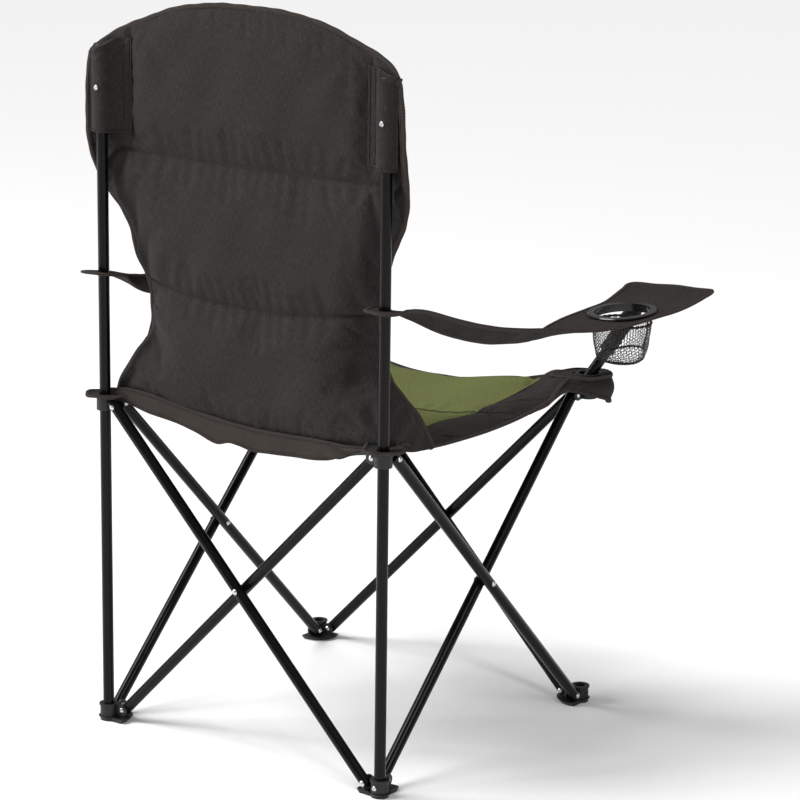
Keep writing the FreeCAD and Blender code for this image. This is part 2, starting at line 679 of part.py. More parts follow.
def cup_holder():
    """Ring with a flange and a collar, and the mesh bag that hangs from it."""
    lie = at(RING_CENTRE, RING_NORMAL)
    flange = cylinder("ring_flange", at((0, 0, RING_LIFT)), "dims.ring_outer_radius",
                      "dims.ring_thickness")
    softened = soften("Chamfer", "ring_softened", flange, far_circle(flange, Z), 1.2, 1.2)
    collar_end = RING_LIFT - size("ring_collar_depth")
    collar = cylinder("ring_collar", at((0, 0, collar_end)),
                      "dims.ring_collar_radius", "dims.ring_collar_depth")
    opening = cylinder("ring_opening", at((0, 0, -THROUGH / 2.0)), "dims.ring_inner_radius",
                       THROUGH)
    ring = cut("ring", fuse("ring_blank", [softened, collar]), opening)
    ring.Placement = lie
    keep(ring, "cup_ring")

    floor = collar_end - BAG_GAP - size("bag_depth")
    outside = shape_of("Cone", "bag_outside", at((0, 0, floor)),
                       Radius1="dims.bag_bottom_radius + dims.bag_wall",
                       Radius2="dims.bag_top_radius + dims.bag_wall", Height="dims.bag_depth")
    inside = shape_of("Cone", "bag_inside", at((0, 0, floor + size("bag_wall"))),
                      Radius1="dims.bag_bottom_radius", Radius2="dims.bag_top_radius",
                      Height="dims.bag_depth")
    bag = cut("bag", outside, inside)
    bag.Placement = Placement(RING_CENTRE, Rotation())
    keep(bag, "cup_bag")


# ---------------------------------------------------------------- assembly

for k in range(4):
    foot(k)
    cross_pair(k)
    corner_rivets(k, FOOT_Z, False, CORNERS[k] + "_foot_rivets")
    corner_rivets(k, HUB_Z, True, CORNERS[k] + "_hub_rivets")
    seat_corner(k)
for k in REAR:
    rear_hub(k)
    rear_post(k)
    back_pocket(k)
for k in FRONT:
    front_hub(k)
    arm_post(k)
back_panel()
seat_half("seat_right", -1)
seat_half("seat_left", 1)
arm("right", 1)
arm("left", -1)
cup_holder()
for obj in sub_parts:
    obj.Placement = Placement(Vector(0, size("setback"), 0), Rotation()) * obj.Placement
doc.recompute()

for obj in doc.Objects:
    if any(state in ("Invalid", "Error") for state in obj.State):
        raise RuntimeError(f"{obj.Name} failed: {obj.State}")
for obj in sub_parts:
    if obj.Shape.isNull() or not obj.Shape.isValid() or not obj.Shape.Solids:
        raise RuntimeError(f"{obj.Label} has no valid solid")
for obj in sub_parts:
    obj.Shape.exportStep(f"parts/{obj.Label}.step")
    print(f"{obj.Label:28s} {obj.Shape.Volume / 1000.0:9.2f} cm3  {len(obj.Shape.Solids)} solid(s)")
print(len(sub_parts), "nodes")
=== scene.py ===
"""Looks of a folding camp chair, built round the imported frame. Metres, +Z up, the front of the chair
towards -Y and the sitter's right towards -X. Steel, plastic and zinc parts are the frame's own nodes
with better materials; every fabric part is a worked-out surface that stands for a plain node."""
import math
import bmesh
import bpy
import numpy as np
from mathutils import Matrix, Vector


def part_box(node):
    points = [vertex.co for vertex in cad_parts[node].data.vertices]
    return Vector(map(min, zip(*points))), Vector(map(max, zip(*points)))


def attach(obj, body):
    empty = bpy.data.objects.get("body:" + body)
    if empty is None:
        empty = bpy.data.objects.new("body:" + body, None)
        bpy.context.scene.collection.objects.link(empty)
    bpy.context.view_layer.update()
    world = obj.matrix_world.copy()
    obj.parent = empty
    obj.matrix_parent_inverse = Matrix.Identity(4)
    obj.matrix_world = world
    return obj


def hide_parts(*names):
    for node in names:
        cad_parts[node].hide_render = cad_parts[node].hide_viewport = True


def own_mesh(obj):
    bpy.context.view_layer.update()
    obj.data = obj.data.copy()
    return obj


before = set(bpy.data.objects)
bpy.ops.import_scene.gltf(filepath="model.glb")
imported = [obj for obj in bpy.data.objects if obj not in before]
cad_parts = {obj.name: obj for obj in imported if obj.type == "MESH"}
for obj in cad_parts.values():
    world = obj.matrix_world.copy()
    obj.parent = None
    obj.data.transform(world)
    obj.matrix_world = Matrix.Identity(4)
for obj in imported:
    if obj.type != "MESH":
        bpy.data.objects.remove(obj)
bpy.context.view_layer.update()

MM = 0.001
SIDES = {"right": -1.0, "left": 1.0}


def middle(node):
    low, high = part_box(node)
    return np.array((low + high) / 2.0)


POST = middle("rear_left_post")
HALF = POST[0]
# The pieces are worked out about the middle of the four posts, and make() moves them here.
CENTRE = np.array([0.0, POST[1] - HALF, 0.0])
REAR_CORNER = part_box("rear_left_seat_corner")
FRONT_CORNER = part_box("front_left_seat_corner")
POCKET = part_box("rear_left_pocket")
SCREW_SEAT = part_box("rear_left_pocket_screw")[1].y - CENTRE[1] - 1.8 * MM
REAR = np.array([0.0, 1.0, 0.0])
UP = np.array([0.0, 0.0, 1.0])


# ---------------------------------------------------------------- materials

def colour(text):
    """sRGB hex to linear RGBA."""
    parts = [int(text[i:i + 2], 16) / 255.0 for i in (0, 2, 4)]
    return [p / 12.92 if p <= 0.04045 else ((p + 0.055) / 1.055) ** 2.4 for p in parts] + [1.0]


def feed(tree, node, inputs):
    """Fills sockets of a node, each given by its name or number: with a value, with another node's
    output, or with another node, which gives its Fac or else its first output."""
    for key, value in inputs.items():
        if isinstance(value, bpy.types.Node):
            value = value.outputs.get("Fac") or value.outputs[0]
        if isinstance(value, bpy.types.NodeSocket):
            tree.links.new(value, node.inputs[key])
        else:
            node.inputs[key].default_value = value


def add(tree, kind, inputs=None, stops=(), **settings):
    """Adds one node with its inputs. settings are its properties, and stops the places and colours
    of its ramp."""
    made = tree.nodes.new("ShaderNode" + kind)
    for key, value in settings.items():
        setattr(made, key, value)
    for number, (place, text) in enumerate(stops):
        made.color_ramp.elements[number].position = place
        made.color_ramp.elements[number].color = colour(text)
    feed(tree, made, inputs or {})
    return made


def new_material(name, **sockets):
    """A material with one Principled shader, whose constants are set on its own sockets."""
    made = bpy.data.materials.new(name)
    made.use_nodes = True
    tree = made.node_tree
    shader = tree.nodes["Principled BSDF"]
    for key, value in sockets.items():
        shader.inputs[key.replace("_", " ")].default_value = value
    made.diffuse_color = shader.inputs["Base Color"].default_value
    return made, tree, shader


def powder_coat():
    """Black polyester powder coat baked on steel tube: satin, with the faint orange peel that the
    melted powder leaves, about 1.5 mm from bump to bump, and small changes of gloss."""
    made, tree, shader = new_material("black_powder_coat", Base_Color=colour("080707"),
                                      Roughness=0.24, IOR=1.5, Specular_IOR_Level=0.17)
    place = add(tree, "TexCoord").outputs["Object"]
    peel = add(tree, "TexNoise", {"Vector": place, "Scale": 650.0, "Detail": 1.0})
    cloud = add(tree, "TexNoise", {"Vector": place, "Scale": 38.0, "Detail": 3.0})
    gloss = add(tree, "MapRange", {"Value": cloud, "From Min": 0.3, "From Max": 0.7,
                                   "To Min": 0.18, "To Max": 0.28})
    shade = add(tree, "ValToRGB", {"Fac": cloud}, stops=((0.3, "060505"), (0.75, "0d0c0c")))
    bump = add(tree, "Bump", {"Height": peel, "Strength": 0.12, "Distance": 0.0002})
    feed(tree, shader, {"Roughness": gloss, "Base Color": shade, "Normal": bump})
    return made


def moulded_nylon():
    """Black nylon moulded against a spark-eroded tool: an even grain of about 0.6 mm, a soft sheen
    and slightly greyer where the parts rub."""
    made, tree, shader = new_material("black_moulded_nylon", Base_Color=colour("121212"),
                                      Roughness=0.5, IOR=1.53, Specular_IOR_Level=0.4)
    place = add(tree, "TexCoord").outputs["Object"]
    grain = add(tree, "TexNoise", {"Vector": place, "Scale": 1500.0, "Detail": 2.0})
    cloud = add(tree, "TexNoise", {"Vector": place, "Scale": 90.0, "Detail": 4.0})
    wear = add(tree, "NewGeometry").outputs["Pointiness"]
    edge = add(tree, "MapRange", {"Value": wear, "From Min": 0.52, "From Max": 0.6,
                                  "To Min": 0.0, "To Max": 0.35})
    amount = add(tree, "Math", {0: edge, 1: cloud}, operation="MULTIPLY")
    shade = add(tree, "ValToRGB", {"Fac": amount}, stops=((0.0, "101011"), (1.0, "333333")))
    rough = add(tree, "MapRange", {"Value": cloud, "To Min": 0.42, "To Max": 0.6})
    bump = add(tree, "Bump", {"Height": grain, "Strength": 0.25, "Distance": 0.0002})
    feed(tree, shader, {"Base Color": shade, "Roughness": rough, "Normal": bump})
    return made


def ring_plastic():
    """Black polypropylene from a polished tool: smooth and shiny, with hair-fine scuffs left by
    cans and bottles."""
    made, tree, shader = new_material("black_polished_polypropylene", Base_Color=colour("111112"),
                                      Roughness=0.2, IOR=1.49)
    place = add(tree, "TexCoord").outputs["Object"]
    scuff = add(tree, "TexNoise", {"Vector": place, "Scale": 420.0, "Detail": 6.0,
                                   "Distortion": 1.5})
    rough = add(tree, "MapRange", {"Value": scuff, "From Min": 0.4,
                                   "From Max": 0.7, "To Min": 0.14, "To Max": 0.34})
    feed(tree, shader, {"Roughness": rough})
    return made


def bright_zinc():
    """Bright zinc plating on pressed steel: a soft mirror, a little blue, with fine tool marks and
    dulled patches."""
    made, tree, shader = new_material("bright_zinc_plate", Base_Color=colour("cfd3d6"),
                                      Metallic=1.0, Roughness=0.24)
    place = add(tree, "TexCoord").outputs["Object"]
    dull = add(tree, "TexNoise", {"Vector": place, "Scale": 700.0, "Detail": 4.0})
    rough = add(tree, "MapRange", {"Value": dull, "To Min": 0.14, "To Max": 0.42})
    shade = add(tree, "ValToRGB", {"Fac": dull}, stops=((0.0, "a9adb1"), (1.0, "e2e5e7")))
    bump = add(tree, "Bump", {"Height": dull, "Strength": 0.2, "Distance": 0.0001})
    feed(tree, shader, {"Roughness": rough, "Base Color": shade, "Normal": bump})
    return made


def woven(name, dark, light, pitch, relief, streak=1.0):
    """Plain-woven polyester on the piece's own map, in metres. The height is the product of two
    sines, one along each thread direction, so warp and weft stand up in turn. Slubs are noise
    drawn out along the warp with a finer one over it. The colour paints the raised threads and
    the slub dashes lighter, as painted highlights of threads catching the light, while a slow
    noise clouds the dye. pitch is two threads, in metres: real oxford has about 1.0 mm, drawn
    coarser so that it shows."""
    made, tree, shader = new_material(name, Base_Color=colour(dark), Roughness=0.78, IOR=1.46,
                                      Specular_IOR_Level=0.22, Sheen_Weight=0.04,
                                      Sheen_Roughness=0.45, Sheen_Tint=colour("b9b0a6"))
    place = add(tree, "UVMap", uv_map="weave")
    bands = math.pi / (10.0 * pitch)
    warp = add(tree, "TexWave", {"Vector": place, "Scale": bands, "Distortion": 0.6,
                                 "Detail": 1.0, "Detail Scale": 2.0}, bands_direction="X")
    weft = add(tree, "TexWave", {"Vector": place, "Scale": bands, "Distortion": 0.6,
                                 "Detail": 1.0, "Detail Scale": 2.0}, bands_direction="Y")
    knit = add(tree, "Math", {0: warp, 1: weft}, operation="MULTIPLY")
    drawn = add(tree, "Mapping", {"Vector": place, "Scale": (750.0, 110.0, 1.0)})
    slub = add(tree, "TexNoise", {"Vector": drawn, "Scale": 1.0, "Detail": 3.0})
    pick = add(tree, "TexNoise", {"Vector": place, "Scale": 620.0, "Detail": 2.0})
    threads = add(tree, "Math", {0: slub, 1: pick}, operation="ADD")
    # The slub dashes stand up in the bump and are painted glints in the colour: filaments catching the
    # light.
    slub_and_glint = add(tree, "MapRange", {"Value": threads, "From Min": 0.8,
                                   "From Max": 1.3, "To Min": 0.0, "To Max": streak})
    cloud = add(tree, "TexNoise", {"Vector": place, "Scale": 14.0, "Detail": 3.0})
    faded = add(tree, "MapRange", {"Value": cloud, "To Min": 0.38, "To Max": 0.62})
    mix = add(tree, "Math", {0: slub_and_glint, 1: knit}, operation="ADD")
    amount = add(tree, "Math", {0: mix, 1: faded}, operation="MULTIPLY")
    # Painted highlight: the ramp lightens the raised threads and the slub dashes as if they caught the
    # light; the slow cloud is the dye's own tone.
    shade = add(tree, "ValToRGB", {"Fac": amount}, stops=((0.05, dark), (0.85, light)))
    rough = add(tree, "MapRange", {"Value": cloud, "To Min": 0.68, "To Max": 0.9})
    height = add(tree, "Math", {0: knit, 1: slub_and_glint}, operation="ADD")
    bump = add(tree, "Bump", {"Height": height, "Strength": relief, "Distance": 0.0004})
    feed(tree, shader, {"Base Color": shade, "Roughness": rough, "Normal": bump})
    return made


def ribbed_tape():
    """Woven polyester binding tape and hem tape: ribs across the tape 1.9 mm apart, drawn as coarse
    as they need to show, a little browner and duller than the cloth."""
    made, tree, shader = new_material("black_ribbed_tape", Base_Color=colour("2c2724"),
                                      Roughness=0.85, IOR=1.46, Specular_IOR_Level=0.2,
                                      Sheen_Weight=0.06, Sheen_Roughness=0.5,
                                      Sheen_Tint=colour("a89c90"))
    place = add(tree, "UVMap", uv_map="weave")
    rib = add(tree, "TexWave", {"Vector": place, "Scale": math.pi / (10.0 * 1.9 * MM),
                                "Distortion": 1.6, "Detail": 2.0, "Detail Scale": 1.5},
              bands_direction="X")
    lint = add(tree, "TexNoise", {"Vector": place, "Scale": 900.0, "Detail": 3.0})
    mix = add(tree, "Math", {0: rib, 1: lint}, operation="MULTIPLY")
    # Painted shade and highlight: the ramp follows the ribs' height, darker in the grooves and lighter
    # on the crests, broken up by the lint noise.
    shade = add(tree, "ValToRGB", {"Fac": mix}, stops=((0.05, "1c1817"), (0.6, "4b433e")))
    bump = add(tree, "Bump", {"Height": mix, "Strength": 0.6, "Distance": 0.0006})
    feed(tree, shader, {"Base Color": shade, "Normal": bump})
    return made


def sewing_thread():
    """Black twisted polyester thread: slight lustre, with the twist as fine bands."""
    made, tree, shader = new_material("black_sewing_thread", Base_Color=colour("131211"),
                                      Roughness=0.6, IOR=1.46, Specular_IOR_Level=0.25)
    place = add(tree, "TexCoord").outputs["Object"]
    twist = add(tree, "TexNoise", {"Vector": place, "Scale": 2200.0, "Detail": 2.0})
    shade = add(tree, "ValToRGB", {"Fac": twist}, stops=((0.0, "0d0c0c"), (1.0, "282422")))
    feed(tree, shader, {"Base Color": shade})
    return made


def net_yarn():
    """Black knitted polyester netting, a stiff shiny monofilament that glints."""
    made, tree, shader = new_material("black_net_yarn", Base_Color=colour("1a1918"),
                                      Roughness=0.38, IOR=1.5, Sheen_Weight=0.1)
    place = add(tree, "TexCoord").outputs["Object"]
    fibre = add(tree, "TexNoise", {"Vector": place, "Scale": 1800.0, "Detail": 2.0})
    shade = add(tree, "ValToRGB", {"Fac": fibre}, stops=((0.0, "141312"), (1.0, "3d3a37")))
    feed(tree, shader, {"Base Color": shade})
    return made


STEEL = powder_coat()
NYLON = moulded_nylon()
RING = ring_plastic()
ZINC = bright_zinc()
BLACK = woven("black_polyester_oxford", "161414", "393431", 1.7 * MM, 0.7)
OLIVE = woven("olive_polyester_oxford", "50552e", "7b8249", 1.7 * MM, 0.5, 0.7)
TAPE = ribbed_tape()
THREAD = sewing_thread()
NET = net_yarn()


# ---------------------------------------------------------------- curves and surfaces

def hermite(x, knots, values):
    """Smooth curve through the knots: on each stretch, the cubic whose end slopes are those of the
    line between the neighbouring knots."""
    knots, values = np.asarray(knots, float), np.asarray(values, float)
    slopes = np.gradient(values, knots, axis=0)
    x = np.clip(np.asarray(x, float), knots[0], knots[-1])
    i = np.clip(np.searchsorted(knots, x, side="right") - 1, 0, len(knots) - 2)
    width = knots[i + 1] - knots[i]
    t = (x - knots[i]) / width
    shape = t.shape + (1,) * (values.ndim - 1)
    t, width = t.reshape(shape), width.reshape(shape)
    return ((2 * t ** 3 - 3 * t ** 2 + 1) * values[i] + (t ** 3 - 2 * t ** 2 + t) * width * slopes[i]
            + (3 * t ** 2 - 2 * t ** 3) * values[i + 1] + (t ** 3 - t ** 2) * width * slopes[i + 1])


def along(points):
    """Distance from the first point to each of the others, along the line."""
    steps = np.linalg.norm(np.diff(points, axis=0), axis=1)
    return np.concatenate([[0.0], np.cumsum(steps)])


def spline(points, count):
    """count points at even distances on the smooth curve through the given ones. Further columns
    than the three of the place are carried along."""
    points = np.asarray(points, float)
    knots = along(points[:, :3])
    fine = hermite(np.linspace(0.0, knots[-1], 12 * count), knots, points)
    run = along(fine[:, :3])
    even = np.linspace(0.0, run[-1], count)
    return np.stack([np.interp(even, run, fine[:, k]) for k in range(fine.shape[1])], axis=1)


def unit(vectors):
    return vectors / np.maximum(np.linalg.norm(vectors, axis=-1, keepdims=True), 1e-12)


def normals_of(grid, wrap=False):
    """Unit normals of a grid: the cross product of its two directions of rise. wrap says that the
    last column meets the first."""
    if wrap:
        grid = np.concatenate([grid[:, -1:], grid, grid[:, :1]], axis=1)
    normals = unit(np.cross(np.gradient(grid, axis=0), np.gradient(grid, axis=1)))
    return normals[:, 1:-1] if wrap else normals


def quads(rows, columns, wrap=False):
    """Faces of a grid whose points are numbered row by row; wrap joins the last column to the
    first."""
    i, j = np.meshgrid(np.arange(rows - 1), np.arange(columns if wrap else columns - 1),
                       indexing="ij")
    right = (j + 1) % columns
    return np.stack([i * columns + j, (i + 1) * columns + j, (i + 1) * columns + right,
                     i * columns + right], axis=-1).reshape(-1, 4)


def make(name, points, faces, materials, uv=None, slots=None):
    """Puts points and faces in a new object. uv holds each point's place on the cloth, in metres,
    and slots each face's material."""
    mesh = bpy.data.meshes.new(name)
    mesh.from_pydata(points.reshape(-1, 3) + CENTRE, [], [tuple(face) for face in faces])
    mesh.validate()
    mesh.polygons.foreach_set("use_smooth", np.ones(len(mesh.polygons), bool))
    if uv is not None:
        layer = mesh.uv_layers.new(name="weave")
        corners = np.zeros(len(mesh.loops), int)
        mesh.loops.foreach_get("vertex_index", corners)
        layer.data.foreach_set("uv", uv.reshape(-1, 2)[corners].ravel())
    for entry in materials:
        mesh.materials.append(entry)
    if slots is not None:
        mesh.polygons.foreach_set("material_index", np.asarray(slots, int))
    mesh.update()
    piece = bpy.data.objects.new(name, mesh)
    bpy.context.scene.collection.objects.link(piece)
    return piece


def layers_of(grid, top, bottom, wrap=False):
    """The two faces of a sheet: its middle surface lifted by top along the normals, and lowered by
    bottom."""
    up = normals_of(grid, wrap)
    return np.stack([grid + up * np.asarray(top)[..., None],
                     grid - up * np.asarray(bottom)[..., None]])


def closed(name, layers, uv, materials, keep=None, slots=None, wrap=False):
    """A closed sheet from its two layers, with a wall along every free edge. keep says which of the
    grid's faces there are, and slots the material of each face of the first layer and of the
    second. The layers are shaded by the whole grid's normals, so a sheet made in two parts shows
    no line between them."""
    rows, columns = layers.shape[1:3]
    faces = quads(rows, columns, wrap)
    slots = np.zeros((2, len(faces)), int) if slots is None else np.asarray(slots, int)
    if keep is not None:
        faces, slots = faces[keep], slots[:, keep]
    count = rows * columns
    edges = np.concatenate([np.stack([faces[:, k], faces[:, (k + 1) % 4]], axis=1)
                            for k in range(4)])
    free = ~np.isin(edges[:, 0] * count + edges[:, 1], edges[:, 1] * count + edges[:, 0])
    wall = edges[free]
    walls = np.stack([wall[:, 1], wall[:, 0], wall[:, 0] + count, wall[:, 1] + count], axis=1)
    everything = np.concatenate([faces, faces[:, ::-1] + count, walls])
    everything_slots = np.concatenate([slots[0], slots[1], np.zeros(len(walls), int)])
    points = layers.reshape(-1, 3)
    shading = np.concatenate([normals_of(layers[0], wrap).reshape(-1, 3),
                              -normals_of(layers[1], wrap).reshape(-1, 3)])
    flat = np.concatenate([uv.reshape(-1, 2)] * 2)
    used, renumbered = np.unique(everything, return_inverse=True)
    piece = make(name, points[used], renumbered.reshape(-1, 4), materials, flat[used],
                 everything_slots)
    mesh = piece.data
    if len(mesh.polygons) == len(everything):
        at_corner = shading[everything.ravel()]
        across = unit(np.cross(points[walls[:, 1]] - points[walls[:, 0]],
                               points[walls[:, 2]] - points[walls[:, 1]]))
        at_corner[-4 * len(walls):] = np.repeat(across, 4, axis=0)
        mesh.normals_split_custom_set([tuple(n) for n in at_corner])
    return piece


def slab(name, grid, uv, top, bottom, materials, keep=None, slots=None, wrap=False):
    """A closed sheet about the middle surface grid."""
    return closed(name, layers_of(grid, top, bottom, wrap), uv, materials, keep, slots, wrap)


def profile_ring(width, height, count, power=2.5):
    """Closed superellipse of the given full width and height."""
    turn = np.linspace(0.0, 2.0 * math.pi, count, endpoint=False)
    x = np.sign(np.cos(turn)) * np.abs(np.cos(turn)) ** (2.0 / power)
    y = np.sign(np.sin(turn)) * np.abs(np.sin(turn)) ** (2.0 / power)
    return np.stack([x * width / 2.0, y * height / 2.0], axis=1)


def frames_of(path, up_hint):
    """Directions across and up at each point of a path, square to its run."""
    run = unit(np.gradient(path, axis=0))
    across = unit(np.cross(run, up_hint))
    return across, unit(np.cross(across, run))


def carry(name, path, facing, profile, material, closed=False, scale=None):
    """Carries a closed profile along a path: each point is path + across * x + up * y, where up is
    as near to facing as the path lets it be. Open ends are shut by one face each."""
    across, up = frames_of(path, facing)
    scale = np.ones(len(path)) if scale is None else scale
    grid = (path[:, None, :] + across[:, None, :] * profile[None, :, 0, None] * scale[:, None, None]
            + up[:, None, :] * profile[None, :, 1, None] * scale[:, None, None])
    rows, columns = grid.shape[:2]
    run = along(path)
    around = along(np.concatenate([profile, profile[:1]]))[:-1]
    uv = np.stack(np.meshgrid(run, around, indexing="ij"), axis=-1)
    faces = [tuple(face) for face in quads(rows, columns, wrap=True)]
    if closed:
        last = (rows - 1) * columns
        faces += [(last + j, j, (j + 1) % columns, last + (j + 1) % columns)
                  for j in range(columns)]
    else:
        faces.append(tuple(range(columns)))
        faces.append(tuple((rows - 1) * columns + j for j in reversed(range(columns))))
    piece = make(name, grid, faces, [material], uv)
    outward(piece)
    return piece


def faced(flip, *grids):
    """The grids, with their columns turned about where flip says so: a sheet's first layer then
    faces the same way on both sides of the chair."""
    return [grid[:, ::-1] if flip else grid for grid in grids]


def outward(piece):
    """Turns every face of a closed mesh outwards."""
    work = bmesh.new()
    work.from_mesh(piece.data)
    bmesh.ops.recalc_face_normals(work, faces=work.faces)
    work.to_mesh(piece.data)
    work.free()


def stitches(name, path, up, pitch=4.4 * MM, length=3.5 * MM, radius=0.7 * MM):
    """A row of stitches: at even distances along the path, a short thread with pointed ends that
    lies half sunk in the cloth. All of them are one array, the same spindle moved and turned."""
    run = along(path)
    count = max(2, int(run[-1] / pitch))
    places = (np.arange(count) + 0.5) * run[-1] / count
    centre = np.stack([np.interp(places, run, path[:, k]) for k in range(3)], axis=1)
    slope = unit(np.gradient(path, axis=0))
    way = unit(np.stack([np.interp(places, run, slope[:, k]) for k in range(3)], axis=1))
    rise = np.stack([np.interp(places, run, np.broadcast_to(up, path.shape)[:, k])
                     for k in range(3)], axis=1)
    side = unit(np.cross(way, rise))
    rise = unit(np.cross(side, way))
    stations = np.array([(-0.5, 0.25), (-0.3, 0.9), (0.3, 0.9), (0.5, 0.25)])
    turn = np.linspace(0.0, 2.0 * math.pi, 6, endpoint=False)
    body = np.array([(s * length, r * radius * math.cos(t), r * radius * math.sin(t))
                     for s, r in stations for t in turn])
    points = (centre[:, None, :] + way[:, None, :] * body[None, :, :1]
              + side[:, None, :] * body[None, :, 1:2] + rise[:, None, :] * body[None, :, 2:])
    single = [tuple(face) for face in quads(4, 6, wrap=True)[:, ::-1]]
    single += [tuple(range(6)), tuple(18 + k for k in reversed(range(6)))]
    faces = [tuple(corner + 24 * k for corner in face) for k in range(count) for face in single]
    return make(name, points, faces, [THREAD])


def wave(a, b, *terms):
    """Sum of slow sines over a surface: each term is (height, turns along a, turns along b,
    start)."""
    return sum(h * np.sin(2.0 * math.pi * (m * a + n * b) + s) for h, m, n, s in terms)


# ---------------------------------------------------------------- what each piece of cloth rides on

def sewn_to(piece, body):
    """A piece of cloth that rides on one body."""
    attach(piece, body)


def with_back(piece):
    """The back rides on the sitter's right rear upright, with a mesh of its own."""
    sewn_to(piece, "right_rear_upright")
    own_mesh(piece)


def with_seat(piece, side):
    """Half of the seat rides on its own seat body, with a mesh of its own."""
    sewn_to(piece, f"seat_{side}")
    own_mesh(piece)


def with_arm(piece, side):
    """An arm rides on its rear hub, with a mesh of its own."""
    sewn_to(piece, f"{side}_rear_hub")
    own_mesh(piece)


def with_cup(piece):
    """The bag rides on the cup holder, with a mesh of its own."""
    sewn_to(piece, "cup_holder")
    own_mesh(piece)


# ---------------------------------------------------------------- cloth simulation

PRESSURE = 3.0
FURTHEST = 6 * MM
SHRINK = -0.012
FRAMES = 20


def settle(layers, held):
    """Blows a closed padded sheet up a little with Blender's cloth, with the held points fixed and
    the cloth slightly too large for its shape, so it puckers along its seams. No point ends
    further than FURTHEST from where it was. Takes and gives the sheet's two layers."""
    rows, columns = layers.shape[1:3]
    piece = closed("settling", layers, np.zeros((rows, columns, 2)), [BLACK])
    start = layers.reshape(-1, 3) + CENTRE
    pinned = piece.vertex_groups.new(name="held")
    pinned.add(np.nonzero(np.tile(held.ravel(), 2))[0].tolist(), 1.0, "REPLACE")
    cloth = piece.modifiers.new("cloth", "CLOTH")
    settings = cloth.settings
    settings.quality = 5
    settings.mass = 0.25
    settings.tension_stiffness = 12.0
    settings.compression_stiffness = 12.0
    settings.shear_stiffness = 4.0
    settings.bending_stiffness = 0.4
    settings.use_pressure = True
    settings.uniform_pressure_force = PRESSURE
    settings.shrink_min = SHRINK
    settings.vertex_group_mass = "held"
    settings.effector_weights.gravity = 0.0
    scene = bpy.context.scene
    scene.frame_start, scene.frame_end = 1, FRAMES
    cloth.point_cache.frame_start, cloth.point_cache.frame_end = 1, FRAMES
    for number in range(1, FRAMES + 1):
        scene.frame_set(number)
    settled = piece.evaluated_get(bpy.context.evaluated_depsgraph_get()).data
    after = np.zeros(len(start) * 3)
    settled.vertices.foreach_get("co", after)
    moved = after.reshape(-1, 3) - start
    far = np.linalg.norm(moved, axis=1, keepdims=True)
    moved *= np.minimum(1.0, FURTHEST / np.maximum(far, 1e-9))
    bpy.data.objects.remove(piece)
    scene.frame_set(1)
    return (start + moved - CENTRE).reshape(layers.shape)


# ---------------------------------------------------------------- back

# The back's side edge from the bottom up, in millimetres: its height, its distance from the middle,
# how far back it lies, and how much higher the middle of the same row of threads is
BACK_EDGE = np.array([(494, 243, 235, -20), (514, 242, 228, -20), (535, 235, 217, -20),
                      (557, 226, 206, -20), (577, 214, 194, -20), (592, 209, 191, -20),
                      (617, 207, 193, -20), (648, 203, 200, -19), (669, 206, 206, -18),
                      (697, 218, 212, -16), (734, 227, 214, -13), (759, 239, 218, -12),
                      (799, 264, 230, -10), (833, 276, 239, -7), (854, 278, 244, -4),
                      (900, 276.5, 249, 14), (950, 274, 250, 50), (984, 269, 249, 80)]) * MM
# Share of a crown that is left at each part of the way to the edge, for the arched top
CROWN = np.array([(0, 1), (0.25, 0.969), (0.5, 0.823), (0.693, 0.6), (0.809, 0.45), (0.9, 0.3),
                  (0.963, 0.14), (1, 0)])
BACK_MIDDLE = 231.0 * MM
# Share of the width that the olive inlay on the front of the back takes
BACK_INLAY = 0.62
# Where folds fan out on the back: X and height, how deep they are in millimetres, how many they are
# to a turn, how far they reach in millimetres, and where they start
PULLS = ((-0.24, 0.494, 7.0, 11.0, 85, 0.6), (0.24, 0.494, 6.0, 9.0, 110, 2.0),
         (-0.195, 0.63, 4.0, 7.0, 90, 1.1), (0.195, 0.63, 4.5, 7.0, 95, 0.2),
         (0.21, 0.86, 3.0, 8.0, 80, 0.9), (-0.21, 0.86, 3.0, 8.0, 80, 0.1),
         (0.18, 1.02, 2.2, 7.0, 80, 1.6), (-0.18, 1.02, 2.2, 7.0, 80, 2.4))
SEAM_ROWS = (668.0 * MM, 852.0 * MM)
PATCH_SEAM = 211.0 * MM
THREAD_GRID = 4.6 * MM


def back_edge(height):
    """Distance from the middle, place along Y and crown of the side edge at a height."""
    return np.moveaxis(hermite(height, BACK_EDGE[:, 0], BACK_EDGE[:, 1:]), -1, 0)


def back_surface(u, height):
    """Middle surface of the back. u runs from -1 at the sitter's right edge to 1. Each row bows
    by its crown: down as 1 - u squared, or up as the arched top does. The edges curl to the posts
    or, lower down, round the sitter."""
    reach, edge_y, crown = back_edge(height)
    left = np.where(crown > 0, hermite(np.abs(u), CROWN[:, 0], CROWN[:, 1]), 1.0 - u ** 2)
    bow = np.where(edge_y > BACK_MIDDLE, 16.0, 5.0)
    y = BACK_MIDDLE + (edge_y - BACK_MIDDLE) * np.abs(u) ** bow
    z = height + crown * left
    return np.stack([reach * u, y, z], axis=-1)


def corner_pull(x, z, centre_x, centre_z, height, count, reach, start):
    """Folds that fan out from a held corner: a sine of the bearing, fading with distance."""
    away = np.hypot(x - centre_x, z - centre_z)
    bearing = np.arctan2(z - centre_z, x - centre_x)
    return (height * np.sin(count * bearing + start) * np.exp(-away / reach)
            * (1.0 - np.exp(-away / (22.0 * MM))))


